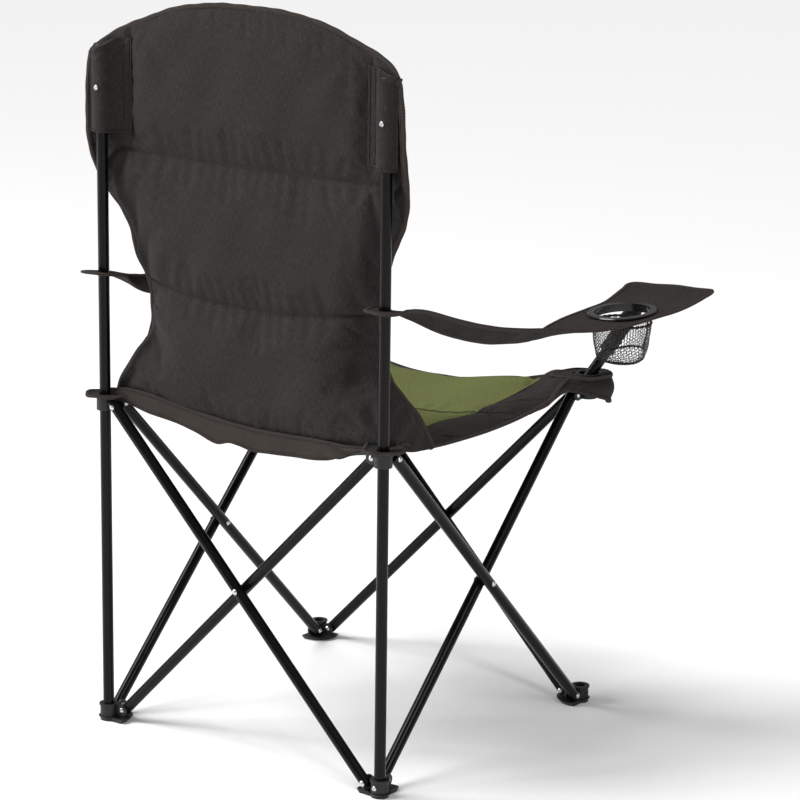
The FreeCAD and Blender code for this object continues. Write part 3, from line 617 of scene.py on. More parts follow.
def back_panel():
    """The padded back: quilted by two seams across and, beside the post pockets, two seams up."""
    columns = int(0.56 / THREAD_GRID) | 1
    rows = int(0.5 / THREAD_GRID)
    u, height = np.meshgrid(np.linspace(-1, 1, columns), np.linspace(BACK_EDGE[0, 0],
                            BACK_EDGE[-1, 0], rows), indexing="xy")
    grid = back_surface(u, height)
    x, z = grid[..., 0], grid[..., 2]
    edge_gap = (1.0 - np.abs(u)) * back_edge(height)[0]
    across = [np.abs(height - row) for row in SEAM_ROWS]
    beside = np.where(height > SEAM_ROWS[1], np.abs(np.abs(x) - PATCH_SEAM), 1.0)
    ends = np.minimum(height - BACK_EDGE[0, 0], BACK_EDGE[-1, 0] - height)
    gap = np.minimum.reduce(across + [beside, edge_gap, ends + 3 * MM])
    fill = 1.0 - np.exp(-gap / (16.0 * MM))
    notch = np.exp(-(gap / (2.6 * MM)) ** 2)
    a, b = x / 0.5, z / 0.5
    folds = wave(a, b, (1.5 * MM, 2.1, 0.7, 0.4), (1.2 * MM, -1.3, 2.3, 1.9),
                 (0.8 * MM, 4.2, -1.1, 2.7), (0.5 * MM, 6.5, 3.1, 0.8))
    for x0, z0, deep, count, reach, start in PULLS:
        folds += corner_pull(x, z, x0, z0, deep * MM, count, reach * MM, start)
    near = np.exp(-np.minimum(*across) / (13 * MM))
    folds += near * (0.9 * MM * np.sin(2 * math.pi * x / (23 * MM) + 3.0 * np.sin(17 * x))
                     + 0.7 * MM * np.sin(2 * math.pi * x / (41 * MM) + 1.0))
    grid[..., 1] += folds * fill
    rear = 1.6 * MM + 5.0 * MM * fill - 1.5 * MM * notch
    front = 1.6 * MM + 8.5 * MM * fill - 0.6 * MM * notch
    layers = layers_of(grid, rear, front)
    under_pockets = (np.abs(x) > PATCH_SEAM) & (height > SEAM_ROWS[1])
    layers = settle(layers, (gap < 2.4 * MM) | (ends < 1 * MM) | under_pockets)
    uv = np.stack([x, z], axis=-1)
    # The inlay faces the sitter: only the front layer's faces take the olive cloth.
    inside = np.abs(u) < BACK_INLAY
    inlay = (inside[:-1, :-1] & inside[:-1, 1:]).ravel()
    piece = closed("back_padding", layers, uv, [BLACK, OLIVE],
                   slots=[np.zeros(inlay.size, int), inlay])
    with_back(piece)
    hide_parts("back_panel")
    return layers


def sewn_line(layers, u_of, height_of, count=160, side=0):
    """Points on the back along a line given by u and height as functions of 0 to 1. side 0 is the
    rear and 1 the front."""
    t = np.linspace(0.0, 1.0, count)
    rows, columns = layers.shape[1:3]
    i = (height_of(t) - BACK_EDGE[0, 0]) / (BACK_EDGE[-1, 0] - BACK_EDGE[0, 0]) * (rows - 1)
    j = (u_of(t) + 1.0) / 2.0 * (columns - 1)
    i0 = np.clip(i.astype(int), 0, rows - 2)
    j0 = np.clip(j.astype(int), 0, columns - 2)
    fi, fj = (i - i0)[:, None], (j - j0)[:, None]
    layer = layers[side]
    return ((1 - fi) * (1 - fj) * layer[i0, j0] + fi * (1 - fj) * layer[i0 + 1, j0]
            + (1 - fi) * fj * layer[i0, j0 + 1] + fi * fj * layer[i0 + 1, j0 + 1])


# Free edge of the flap that joins the back to the seat's side, in millimetres, from the seat up to
# where it meets the back's own edge, on the sitter's left
FLAP_EDGE = np.array([(252, 140, 474), (243, 148, 500), (240, 156, 517), (235, 165, 530),
                      (229, 174, 543), (223, 183, 557), (217, 190, 571)]) * MM
BACK_JOIN = 586.0 * MM


def flap_edge(count):
    """count points on the free edge of the left flap, up to where it meets the back's edge."""
    join = back_surface(np.array(1.0), np.array(BACK_JOIN))
    return spline(np.concatenate([FLAP_EDGE, [join]]), count)


def outline_path():
    """The bound edge, from one seat side over the top to the other, and the way that its cloth
    faces: out to the side on the flaps, and to the rear on the back."""
    sides = back_surface(np.ones(60), np.linspace(BACK_JOIN, BACK_EDGE[-1, 0], 60))
    over = back_surface(np.linspace(1.0, -1.0, 90), np.full(90, BACK_EDGE[-1, 0]))
    left = np.concatenate([flap_edge(30)[:-1], sides[:-1]])
    path = np.concatenate([left, over, (left * (-1, 1, 1))[::-1]])
    turned = np.clip((BACK_JOIN - path[:, 2]) / (60 * MM), 0.0, 1.0)[:, None]
    outward_way = np.stack([np.sign(path[:, 0]), np.full(len(path), 0.35),
                            np.zeros(len(path))], axis=1)
    facing = unit(REAR * (1.0 - turned) + outward_way * turned)
    both = spline(np.concatenate([path, facing], axis=1), 420)
    return both[:, :3], unit(both[:, 3:])


def back_binding():
    """Ribbed tape folded over the edge of the back, 9 mm wide, with a row of stitches on it."""
    path, facing = outline_path()
    across, up = frames_of(path, facing)
    run = along(path)
    width = 1.0 + 0.06 * np.sin(run * 190.0) + 0.05 * np.sin(run * 71.0 + 1.0)
    with_back(carry("back_binding", path, facing, profile_ring(9.5 * MM, 5.2 * MM, 14), TAPE,
                    scale=width))
    inward = -across if np.dot(across[len(path) // 2], (0, 0, 1)) > 0 else across
    for tag, way in (("rear", 1.0), ("front", -1.0)):
        line = path + inward * 1.6 * MM + up * way * 2.7 * MM
        with_back(stitches(f"back_binding_stitches_{tag}", line, up))


def back_seams(layers):
    """Twin rows of stitches on the seams across the back, and single rows up beside the pockets,
    on the rear and on the front."""
    for side, way in ((0, REAR), (1, -REAR)):
        face = "front" if side else "rear"
        for number, row in enumerate(SEAM_ROWS):
            for shift in (-2.4 * MM, 2.4 * MM):
                line = sewn_line(layers, lambda t: -0.97 + 1.94 * t,
                                 lambda t: np.full_like(t, row + shift), side=side)
                tag = "low" if shift < 0 else "high"
                with_back(stitches(f"seam_{number}_{tag}_{face}", line, way))
        for sign in (-1, 1):
            top = BACK_EDGE[-1, 0] - 4 * MM
            bottom = POCKET[0].z - 14 * MM

            def reach(t):
                return sign * PATCH_SEAM / back_edge(bottom + (top - bottom) * t)[0]

            line = sewn_line(layers, reach, lambda t: bottom + (top - bottom) * t, count=90,
                             side=side)
            tag = "right" if sign < 0 else "left"
            with_back(stitches(f"pocket_seam_{tag}_{face}", line, way))


def flap(side):
    """The flap of black cloth between the back, the rear post and the side of the seat: a ruled
    surface from the crease at the post to its bound edge, with folds drawn in by the corner."""
    sign = SIDES[side]
    rows, columns = 48, 30
    a, b = np.meshgrid(np.linspace(0.0, 1.0, rows), np.linspace(0.0, 1.0, columns), indexing="ij")
    heights = np.linspace(BACK_EDGE[0, 0] + 2 * MM, BACK_JOIN, rows)
    crease = back_surface(np.full(rows, 0.985), heights)
    grid = crease[:, None] * (1 - b[..., None]) + flap_edge(rows)[:, None] * b[..., None]
    belly = np.sin(math.pi * a) * np.sin(math.pi * b)
    grid[..., 0] += belly * 7 * MM + b * (1 - b) * 4 * (
        2.6 * MM * np.sin(9.0 * a + 5.0 * b) + 1.6 * MM * np.sin(17.0 * a - 11.0 * b + 1.0))
    grid[..., 2] -= (1 - a) * b * (1 - b) * 4 * 7 * MM
    grid[..., 0] *= sign
    grid, uv = faced(sign < 0, grid, grid[..., 1:])
    piece = slab(f"{side}_back_flap", grid, uv, 1.3 * MM, 1.3 * MM, [BLACK])
    with_back(piece)


def post_pocket(side):
    """Sleeve for the top of a rear post, sewn to the rear of the back: a flat tab with two rows of
    stitches, a wrap over the post, and a second tab at the edge. It closes over the post's end."""
    sign = SIDES[side]
    low, high = POCKET[0].z, POCKET[1].z + 4 * MM
    radius = SCREW_SEAT - HALF
    turn = np.radians(np.linspace(168.0, 14.0, 15))
    wrap = np.stack([HALF + (radius + 1.5 * MM) * np.cos(turn) * 1.12,
                     HALF + radius * np.sin(turn)], axis=1)
    tabs_in = np.array([(PATCH_SEAM - 4 * MM, BACK_MIDDLE + 4.6 * MM),
                        (PATCH_SEAM + 4 * MM, BACK_MIDDLE + 4.9 * MM),
                        (PATCH_SEAM + 12 * MM, BACK_MIDDLE + 6.5 * MM),
                        (PATCH_SEAM + 20 * MM, BACK_MIDDLE + 12.5 * MM)])
    tab_out = np.array([(HALF + 16 * MM, HALF + 2.6 * MM), (HALF + 19.5 * MM, HALF + 2.0 * MM)])
    rows, columns = 60, 64
    section = spline(np.concatenate([tabs_in, wrap, tab_out]), columns)
    v = np.linspace(0.0, 1.0, rows)
    s = np.linspace(0.0, 1.0, columns)
    rise = np.clip((v - 0.93) / 0.07, 0.0, 1.0)
    flatten = 1.0 - 0.55 * rise ** 2 * (3 - 2 * rise)
    base = BACK_MIDDLE + 5.5 * MM
    grid = np.zeros((rows, columns, 3))
    grid[..., 0] = section[None, :, 0]
    grid[..., 1] = base + (section[None, :, 1] - base) * flatten[:, None]
    top = high + 2 * MM * (1 - s) - 10 * MM * s ** 2
    grid[..., 2] = low + (top[None, :] - low) * v[:, None]
    soft = np.sin(math.pi * s)[None, :]
    grid[..., 1] += soft * wave(v[:, None] * np.ones_like(s), s[None, :] * np.ones((rows, 1)),
                                (0.5 * MM, 3.0, 1.0, 0.3), (0.35 * MM, 7.0, -2.0, 1.2))
    creased = np.clip((v - 0.74) / 0.26, 0.0, 1.0)[:, None] * soft
    grid[..., 1] += creased * 1.8 * MM * np.sin(60.0 * v[:, None] + 14.0 * s[None, :])
    grid[..., 0] += creased * 1.0 * MM * np.sin(34.0 * v[:, None] + 3.0)
    grid[..., 0] *= sign
    uv = np.stack(np.meshgrid(v * (high - low), s * 0.085, indexing="ij"), axis=-1)[..., ::-1]
    grid, uv = faced(sign < 0, grid, uv)
    piece = slab(f"{side}_post_pocket", grid, uv, 0.0, 1.3 * MM, [BLACK])
    body = f"{side}_rear_upright"
    sewn_to(piece, body)
    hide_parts(f"rear_{side}_pocket")
    for tag, column in (("outer", 3), ("inner", 11)):
        line = grid[1:-1, column if sign > 0 else columns - 1 - column] + REAR * 0.35 * MM
        sewn_to(stitches(f"{side}_pocket_stitches_{tag}", line, REAR), body)
    sewn_to(carry(f"{side}_pocket_hem", grid[0, 1:-1], REAR, profile_ring(3 * MM, 3 * MM, 10),
                  BLACK), body)


# Upper and lower edge of the hem against the distance from the middle, in millimetres
HEM = np.array([(-244, 493, 488), (-219, 491, 486), (-193, 488, 479), (-172, 487, 467),
                (-150, 487, 461), (-125, 487, 457), (-81, 485, 453.5), (-45, 484, 451.5),
                (-13, 484, 450), (8, 485, 454.5), (23, 485.5, 456), (48, 488, 450),
                (91, 492, 461), (146, 500, 471), (184, 505, 477), (215, 506, 484),
                (244, 502, 490)]) * MM


def rear_hem():
    """Ribbed band at the foot of the back, the turned-over rear edge of the seat: it hangs in a
    shallow curve between the rear corners, with a wavering lower edge and pleats by the sitter's
    right corner."""
    u, v = np.meshgrid(np.linspace(-1.0, 1.0, 190), np.linspace(0.0, 1.0, 16), indexing="xy")
    x = u * 244 * MM
    top, bottom = np.moveaxis(hermite(x, HEM[:, 0], HEM[:, 1:]), -1, 0)
    depth = top - bottom
    z = top - depth * v
    y = (239.5 + 6.5 * np.abs(u) ** 4) * MM
    y = y + (1.6 * MM * np.sin(9 * u + 1.0) + 1.0 * MM * np.sin(21 * u)) * v
    pleat = np.exp(-((u + 0.70) / 0.12) ** 2)
    y = y + pleat * v * 4.5 * MM * np.sin(34 * u + 6 * v)
    z = z + pleat * v * 1.5 * MM * np.sin(27 * u + 0.7)
    grid = np.stack([x, y, z], axis=-1)[:, ::-1]
    uv = np.stack([x, v * depth], axis=-1)[:, ::-1]
    # The band's rows run along it, and the tape's ribs stand across.
    piece = slab("rear_hem", grid, uv, 1.3 * MM, 1.5 * MM, [TAPE])
    with_back(piece)
    for tag, row in (("top", 2), ("bottom", 13)):
        with_back(stitches(f"rear_hem_stitches_{tag}", grid[row, 3:-3] + REAR * 1.6 * MM, REAR))


# ---------------------------------------------------------------- seat

# Height of the seat's side edge, and half of the olive inlay's width, against Y from front to rear
SEAT_FRONT, SEAT_REAR, SEAT_HALF = -246.0 * MM, 228.0 * MM, 246.0 * MM
SEAT_SIDE = np.array([(-250, 505), (-190, 488), (-127, 474), (-19, 465), (47, 466), (133, 472),
                      (190, 481), (240, 492)]) * MM
INLAY = np.array([(-250, 190), (-200, 180), (-100, 168), (0, 150), (100, 163), (240, 182)]) * MM
INLAY_SHARE = 0.7
INLAY_REAR = 205.0 * MM
FRONT_BOW = 14.0 * MM
FRONT_BORDER = 14.0 * MM
SEAT_ROWS, SEAT_COLUMNS = 107, 101
# The grid's row just outside the inlay, counted from either side
INLAY_ROW = 15
SEAT_SEAMS = (60.0 * MM, -82.0 * MM)


def seat_surface(s, t):
    """Middle surface of the seat. s runs from -1 at the sitter's right to 1, with the inlay's edge
    at +-0.7, and t from 0 at the front to 1. It hangs between its sides, rises to its front edge
    and lies flat over the hubs at its corners."""
    front = SEAT_FRONT + FRONT_BOW * (1.0 - s ** 2)
    y = front + (SEAT_REAR - front) * t
    edge = SEAT_HALF - 12 * MM * np.sin(math.pi * t)
    inlay = np.interp(y, INLAY[:, 0], INLAY[:, 1])
    share = np.abs(s)
    x = np.where(share < INLAY_SHARE, share / INLAY_SHARE * inlay,
                 inlay + (share - INLAY_SHARE) / (1.0 - INLAY_SHARE) * (edge - inlay))
    side_z = hermite(y, SEAT_SIDE[:, 0], SEAT_SIDE[:, 1])
    middle_z = 447 * MM + np.where(y < 0, 25 * MM, 8 * MM) * (y / (250 * MM)) ** 2
    z = middle_z + (side_z - middle_z) * (x / edge) ** 1.8
    away = np.hypot(x - HALF, np.abs(y) - HALF)
    plateau = np.where(y > 0, 492.2 * MM, 504.9 * MM)
    rise = np.clip((88 * MM - away) / (42 * MM), 0.0, 1.0)
    rise = rise ** 2 * (3 - 2 * rise)
    z = z + (plateau - z) * rise
    return np.stack([np.sign(s) * x, y, z], axis=-1), away


def seat():
    """The padded seat: olive inlay between black borders, two seams across, and folds that the
    corners draw in. It is worked out whole and handed over as the two halves that fold."""
    s, t = np.meshgrid(np.linspace(-1, 1, SEAT_ROWS), np.linspace(0, 1, SEAT_COLUMNS),
                       indexing="ij")
    grid, away = seat_surface(s, t)
    x, y = grid[..., 0], grid[..., 1]
    gap = np.minimum.reduce([np.abs(y - row) for row in SEAT_SEAMS]
                            + [np.abs(np.abs(s) - INLAY_SHARE) * 0.24 + 2.5 * MM,
                               (1.0 - np.abs(s)) * 0.24, (y - SEAT_FRONT) * 0.9, SEAT_REAR - y])
    gap = np.maximum(gap, 0.0)
    fill = 1.0 - np.exp(-gap / (15.0 * MM))
    fill *= np.clip((away - 40 * MM) / (45 * MM), 0.0, 1.0)
    folds = wave(x / 0.5, y / 0.5, (2.0 * MM, 1.8, 0.9, 0.3), (1.5 * MM, -1.1, 2.6, 1.4),
                 (0.9 * MM, 3.7, -1.8, 2.2))
    for sign_x in (-1, 1):
        for sign_y in (-1, 1):
            folds += corner_pull(x, y, sign_x * HALF, sign_y * HALF, 9.0 * MM,
                                 9.0 + sign_x + 0.5 * sign_y, 110 * MM, 0.7 * sign_x + sign_y)
    crease = np.abs(x + y * 0.62 + 0.02) / 1.18
    folds -= 4.0 * MM * np.exp(-(crease / (9 * MM)) ** 2) * np.clip(-y / 0.1, 0.0, 1.0)
    near = np.exp(-np.min([np.abs(y - row) for row in SEAT_SEAMS], axis=0) / (14 * MM))
    folds += near * 1.3 * MM * np.sin(2 * math.pi * x / (27 * MM) + 2.0 * np.sin(15 * x))
    grid[..., 2] += folds * fill
    notch = np.exp(-(gap / (2.6 * MM)) ** 2)
    top = 1.2 * MM + 6.0 * MM * fill - 0.4 * MM * notch
    bottom = 1.0 * MM + 2.0 * MM * fill
    layers = layers_of(grid, top, bottom)
    layers = settle(layers, (gap < 2.6 * MM) | (away < 70 * MM))
    uv = np.stack([x, y], axis=-1)
    centre_s = (np.abs(s)[:-1, :-1] + np.abs(s)[1:, 1:]) / 2.0
    between = (y > SEAT_FRONT + FRONT_BOW * (1.0 - s ** 2) + FRONT_BORDER) & (y < INLAY_REAR)
    inlay = ((centre_s < INLAY_SHARE) & between[:-1, :-1]).ravel()
    slots = np.stack([inlay, np.zeros(len(inlay), bool)])
    centre_x = (x[:-1, :-1] + x[1:, 1:]) / 2.0
    clear = (np.minimum(away[:-1, :-1], away[1:, 1:]) > 19 * MM).ravel()
    for side, sign in SIDES.items():
        half = clear & (centre_x * sign > 0).ravel()
        piece = closed(f"{side}_seat_padding", layers, uv, [BLACK, OLIVE], keep=half, slots=slots)
        with_seat(piece, side)
        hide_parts(f"seat_{side}")
    return layers


def seat_trim(layers):
    """Tape round the seat's sides and front with a row of stitches on it, and twin rows of stitches
    along the seams and the edge of the inlay, each split at the middle of the seat."""
    middle_row = SEAT_ROWS // 2
    mean, top = layers.mean(axis=0), layers[0]
    for side, sign in SIDES.items():
        end, step = (0, 1) if sign < 0 else (SEAT_ROWS - 1, -1)
        side_edge = mean[end, 5:-4]
        front_edge = mean[end + 5 * step:middle_row + step:step, 0]
        for tag, line in (("side", side_edge), ("front", front_edge)):
            path = spline(line, 150)
            with_seat(carry(f"{side}_seat_{tag}_binding", path, UP,
                            profile_ring(9.0 * MM, 4.6 * MM, 14), TAPE), side)
            inward = np.array([-sign, 0.0, 0.0]) if tag == "side" else REAR
            sewn = path + inward * 2.0 * MM + UP * 2.4 * MM
            with_seat(stitches(f"{side}_seat_{tag}_stitches", sewn, UP), side)
        half = top[:middle_row + 1] if sign < 0 else top[middle_row:]
        for number, row in enumerate(SEAT_SEAMS):
            column = int(np.argmin(np.abs(top[middle_row, :, 1] - row)))
            for shift in (-1.5 * MM, 1.5 * MM):
                line = half[2:-2, column] + (0.0, shift, 0.4 * MM)
                tag = "front" if shift < 0 else "rear"
                with_seat(stitches(f"{side}_seat_seam_{number}_{tag}", line, UP), side)
        line = top[end + INLAY_ROW * step, 6:-4] + UP * 0.3 * MM
        with_seat(stitches(f"{side}_seat_inlay_stitches", line, UP), side)


# ---------------------------------------------------------------- seat corners

def corner_patch(front, side):
    """Doubled, bound corner of the seat: a polar sheet whose outline is a circle round the post with
    a tongue towards the seat, lying on the hub."""
    sign = SIDES[side]
    box = FRONT_CORNER if front else REAR_CORNER
    level = (box[0].z + box[1].z) / 2.0
    centre = np.array([HALF, -HALF if front else HALF, 0.0])
    inner = (15.4 if front else 9.3) * MM
    turn = np.linspace(0.0, 2.0 * math.pi, 96, endpoint=False)
    toward = math.atan2(-centre[1], -centre[0])
    off = np.angle(np.exp(1j * (turn - toward)))
    rim = ((33.0 if front else 26.0) + 22.0 * np.exp(-(off / 0.62) ** 2)
           + 0.8 * np.sin(5 * turn + 1.0)) * MM
    share = np.linspace(0.0, 1.0, 26)
    r = inner + (rim[None, :] - inner) * share[:, None]
    x = centre[0] + r * np.cos(turn)
    y = centre[1] + r * np.sin(turn)
    z = level + share[:, None] ** 2 * (0.9 * MM * np.sin(4 * turn + 0.7) + 0.9 * MM)
    grid = np.stack([x * sign, y, z], axis=-1)[::-1, ::-1 if sign > 0 else 1]
    name = f"{'front' if front else 'rear'}_{side}"
    piece = slab(f"{name}_corner_patch", grid, grid[..., :2], 0.9 * MM, 0.9 * MM, [BLACK], wrap=True)
    body = f"{side}_{'front' if front else 'rear'}_hub"
    sewn_to(piece, body)
    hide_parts(f"{name}_seat_corner")
    # The bound rim, and the stitches inside it
    path = spline(np.concatenate([grid[0], grid[0][:1]]), 130)[:-1]
    sewn_to(carry(f"{name}_corner_binding", path, UP, profile_ring(6.5 * MM, 3.4 * MM, 12), TAPE,
                  closed=True), body)
    sewn = centre * (sign, 1, 0) + (path - centre * (sign, 1, 0)) * (0.93, 0.93, 1.0)
    sewn[:, 2] = path[:, 2] + 1.6 * MM
    sewn_to(stitches(f"{name}_corner_stitches", sewn, UP), body)


def skirt(side):
    """The gathered edge that hangs outside a front hub: a strip whose upper edge follows the side
    of the seat, goes round the corner patch and ends along the front, and whose depth, in the last
    column, grows to the corner and dies away. Pleats deepen towards its hem."""
    sign = SIDES[side]
    along_side, _ = seat_surface(np.full(9, 1.0), np.linspace(0.30, 0.10, 9))
    turn = np.radians(np.linspace(12.0, -102.0, 9))
    corner = np.stack([HALF + 32 * MM * np.cos(turn), -HALF + 32 * MM * np.sin(turn),
                       np.full(9, FRONT_CORNER[0].z + 1.0 * MM)], axis=1)
    along_front, _ = seat_surface(np.linspace(0.86, 0.55, 5), np.zeros(5))
    top = spline(np.concatenate([along_side, corner, along_front]), 170)
    run = along(top) / along(top)[-1]
    depth = hermite(run, np.array([0.0, 0.12, 0.3, 0.42, 0.6, 0.72, 0.86, 1.0]),
                    np.array([0.0, 3.0, 14.0, 27.0, 37.0, 30.0, 10.0, 0.0])) * MM
    flat = np.gradient(top, axis=0)
    out = unit(np.stack([-flat[:, 1], flat[:, 0], np.zeros(170)], axis=1))
    out *= np.sign(np.sum(out * (top - (0.2, -0.2, 0.0)), axis=1))[:, None]
    v = np.linspace(0.0, 1.0, 26)
    swell = (5.0 * MM * np.sin(math.pi * np.clip(v * 1.15, 0, 1))[None, :]
             + 2.6 * MM * np.sin(run * 46.0 + 2.5 * np.sin(run * 9.0))[:, None] * v[None, :])
    swell *= np.clip(depth / (12 * MM), 0.0, 1.0)[:, None]
    drop = depth[:, None] * v[None, :] * (1.0 + 0.10 * np.sin(run * 25.0)[:, None] * v[None, :])
    grid = top[:, None] + out[:, None] * swell[..., None]
    grid[..., 2] -= drop + 0.4 * MM
    grid *= (sign, 1.0, 1.0)
    uv = np.stack(np.broadcast_arrays(run[:, None] * 0.28, v[None, :] * 0.035), axis=-1)
    grid, uv = faced(sign < 0, grid, uv)
    piece = slab(f"front_{side}_corner_skirt", grid, uv, 0.9 * MM, 0.9 * MM, [BLACK])
    with_seat(piece, side)
    path = spline(grid[6:-6, 0 if sign < 0 else -1], 130)
    with_seat(carry(f"front_{side}_corner_skirt_hem", path, UP,
                    profile_ring(3.4 * MM, 5.5 * MM, 12), TAPE), side)


# ---------------------------------------------------------------- arms

# Middle line of an arm from behind the rear post to its front edge, in millimetres: distance from
# the middle, Y, height, half of its width, its twist and its turn in plan, in degrees, and how far
# it hangs as a trough
ARM_LINE = np.array([
    (251, 274.5, 682.0, 8, 0, 9, 0), (250, 271, 681.6, 17, 0, 9, 0), (250, 262, 681, 23, 0, 9, 0),
    (250, 248, 680.5, 25, 0, 9, 0), (251, 236, 679.5, 24, 2, 9, 0.5), (254, 218, 676, 18, 12, 9, 2),
    (260, 190, 668, 15, 28, 9, 3), (266, 158, 656, 15, 40, 9, 3), (274, 108, 637.5, 15, 48, 9, 3),
    (286, 38, 618.5, 15, 48, 9, 3), (295, -10, 611.5, 16, 40, 9, 3), (301, -48, 607.5, 24, 25, 8, 3),
    (306, -78, 606, 35, 13, 7, 2), (311, -108, 606.5, 47, 7, 6, 2), (318, -145, 609, 55, 4, 4, 1),
    (329, -212, 614.8, 59.5, 2.9, 0, 0), (336, -258, 619.5, 60.5, 2, -5, 0),
    (342, -300, 631, 61.5, 0, -11, 0), (344.5, -318, 637, 61.5, 0, -13.5, 0),
    (345, -322.5, 637.6, 58, 0, -13.5, 0)])
RING_CENTRE = (329.0 * MM, -212.0 * MM)
ARM_ROWS, ARM_COLUMNS = 250, 49


def arm_point(line, v, sign):
    """Points on an arm: across each place of the middle line goes a segment, turned in plan and
    twisted about the line, and bent into a shallow trough by 1 - v squared."""
    twist, turned = np.radians(line[..., 4]), np.radians(line[..., 5])
    half, trough = line[..., 3] * MM, line[..., 6] * MM
    level = np.stack([np.cos(turned), np.sin(turned), np.zeros_like(turned)], axis=-1)
    across = level * np.cos(twist)[..., None] + UP * np.sin(twist)[..., None]
    under = level * np.sin(twist)[..., None] - UP * np.cos(twist)[..., None]
    point = (line[..., :3] * MM + across * (half * v)[..., None]
             + under * (trough * (1 - v ** 2))[..., None])
    return point * (sign, 1.0, 1.0)


def pierce(grid, keep, centre, radius):
    """Drops the faces inside an upright round hole and draws the points round it on to its rim."""
    rows, columns = grid.shape[:2]
    away = np.hypot(grid[..., 0] - centre[0], grid[..., 1] - centre[1])
    faces = quads(rows, columns)
    inside = (away.ravel() < radius)[faces].sum(axis=1)
    lost = inside >= 2
    keep &= ~lost
    on_rim = np.intersect1d(faces[lost].ravel(), faces[keep].ravel())
    flat = grid.reshape(-1, 3)
    way = flat[on_rim, :2] - centre
    flat[on_rim, :2] = centre + way * (radius / np.linalg.norm(way, axis=1))[:, None]
    return keep


def arm_panel(side):
    """Fabric arm in two layers, bound all round, with holes for the rear post and the cup ring."""
    sign = SIDES[side]
    line = spline(ARM_LINE, ARM_ROWS)
    if side == "left":
        line[:, 2] -= 18.0 * np.exp(-((line[:, 1] - 165.0) / 70.0) ** 2)
    # The tongues have slid to slightly different heights on their posts
    line[:, 2] += (4.0 if side == "right" else -7.0) * np.clip((line[:, 1] - 150.0) / 80.0, 0.0, 1.0)
    v = np.linspace(-1.0, 1.0, ARM_COLUMNS)
    grid = arm_point(line[:, None, :], np.broadcast_to(v, (ARM_ROWS, ARM_COLUMNS)), sign)
    run = along(line[:, :3] * MM)
    # Slack cloth: slow folds along the strap, and light ones on the panel
    slack = np.exp(-((run - 0.22) / 0.13) ** 2)[:, None] * (1 - v[None, :] ** 2)
    grid[..., 0] += sign * slack * 1.8 * MM * np.sin(run * 120.0)[:, None]
    grid[..., 2] += slack * 1.2 * MM * np.sin(run * 85.0 + 1.0)[:, None]
    panel = np.clip((run - 0.40) / 0.06, 0.0, 1.0)[:, None]
    grid[..., 2] += panel * (1 - v[None, :] ** 4) * (
        0.8 * MM * np.sin(run * 62.0)[:, None] + 0.7 * MM * np.sin(v * 5.0 + 1.2)[None, :])
    keep = np.ones((ARM_ROWS - 1) * (ARM_COLUMNS - 1), bool)
    keep = pierce(grid, keep, np.array([sign * HALF, HALF]), 9.6 * MM)
    if side == "right":
        keep = pierce(grid, keep, np.array([sign * RING_CENTRE[0], RING_CENTRE[1]]), 45.5 * MM)
    uv = np.stack(np.broadcast_arrays(v * line[:, 3:4] * MM, run[:, None]), axis=-1)
    grid, uv, keep = faced(sign < 0, grid, uv, keep.reshape(ARM_ROWS - 1, ARM_COLUMNS - 1))
    # Rows run forward, towards -Y, so columns run towards +X for faces that look down: the top
    # layer is the second one.
    piece = slab(f"{side}_arm_fabric", grid, uv, 1.2 * MM, 1.2 * MM, [BLACK],
                 keep=keep.ravel())
    with_arm(piece, side)
    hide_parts(f"{side}_arm_panel")
    # Place, facing and the middle of the arm beside it, round the whole edge
    half = ARM_COLUMNS // 2
    middles = np.repeat(grid[:, half:half + 1], ARM_COLUMNS, axis=1)
    around = np.concatenate([grid, normals_of(grid), middles], axis=2)
    around[0, :, 6:], around[-1, :, 6:] = grid[8, half], grid[-9, half]
    outline = np.concatenate([around[:, 0], around[-1, 1:], around[-2::-1, -1],
                              around[0, -2::-1]])
    outline = spline(outline, 641)[:-1]
    path, inward = outline[:, :3], unit(outline[:, 6:] - outline[:, :3])
    up = frames_of(path, outline[:, 3:6])[1]
    with_arm(carry(f"{side}_arm_binding", path, outline[:, 3:6],
                   profile_ring(7.5 * MM, 4.2 * MM, 12), TAPE, closed=True), side)
    for tag, way in (("top", 1.0), ("bottom", -1.0)):
        sewn = path + inward * 2.2 * MM + up * way * 1.9 * MM
        with_arm(stitches(f"{side}_arm_stitches_{tag}", sewn, up), side)


def arm_sleeve(side):
    """Gathered cloth sleeve on an arm post: a tube whose radius ripples round and along it."""
    sign = SIDES[side]
    low = np.array([246.0 + 60 * 0.36, -246.0 - 60 * 0.36, 495.0 + 128 * 0.36]) * MM
    high = np.array([306.0, -306.0, 622.0]) * MM
    share = np.linspace(0.0, 1.0, 70)[:, None]
    turn = np.linspace(0.0, 2.0 * math.pi, 40, endpoint=False)[None, :]
    run = unit(high - low)
    across = unit(np.cross(run, UP))
    up = np.cross(across, run)
    radius = (10.0 * MM + 0.9 * MM * np.sin(31 * share + 2.0 * np.sin(turn)) ** 2
              + 0.8 * MM * np.sin(3 * turn + 4.0 * share) + 2.5 * MM * share ** 3)
    ring = across * np.cos(turn)[..., None] + up * np.sin(turn)[..., None]
    grid = low + (high - low) * share[..., None] + ring * radius[..., None]
    grid = grid * (sign, 1.0, 1.0)
    uv = np.stack(np.broadcast_arrays(turn * 0.01, share * 0.12), axis=-1)
    grid, uv = faced(sign > 0, grid, uv)
    piece = slab(f"{side}_arm_post_sleeve", grid, uv, 0.5 * MM, 0.7 * MM, [BLACK], wrap=True)
    outward(piece)
    body = f"{side}_arm"
    sewn_to(piece, body)
    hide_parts(f"{side}_arm_sleeve")
    path = spline(np.concatenate([grid[1], grid[1][:1]]), 60)[:-1]
    sewn_to(carry(f"{side}_arm_sleeve_hem", path, run * (sign, 1, 1),
                  profile_ring(2.4 * MM, 5 * MM, 10), TAPE, closed=True), body)


# ---------------------------------------------------------------- net bag

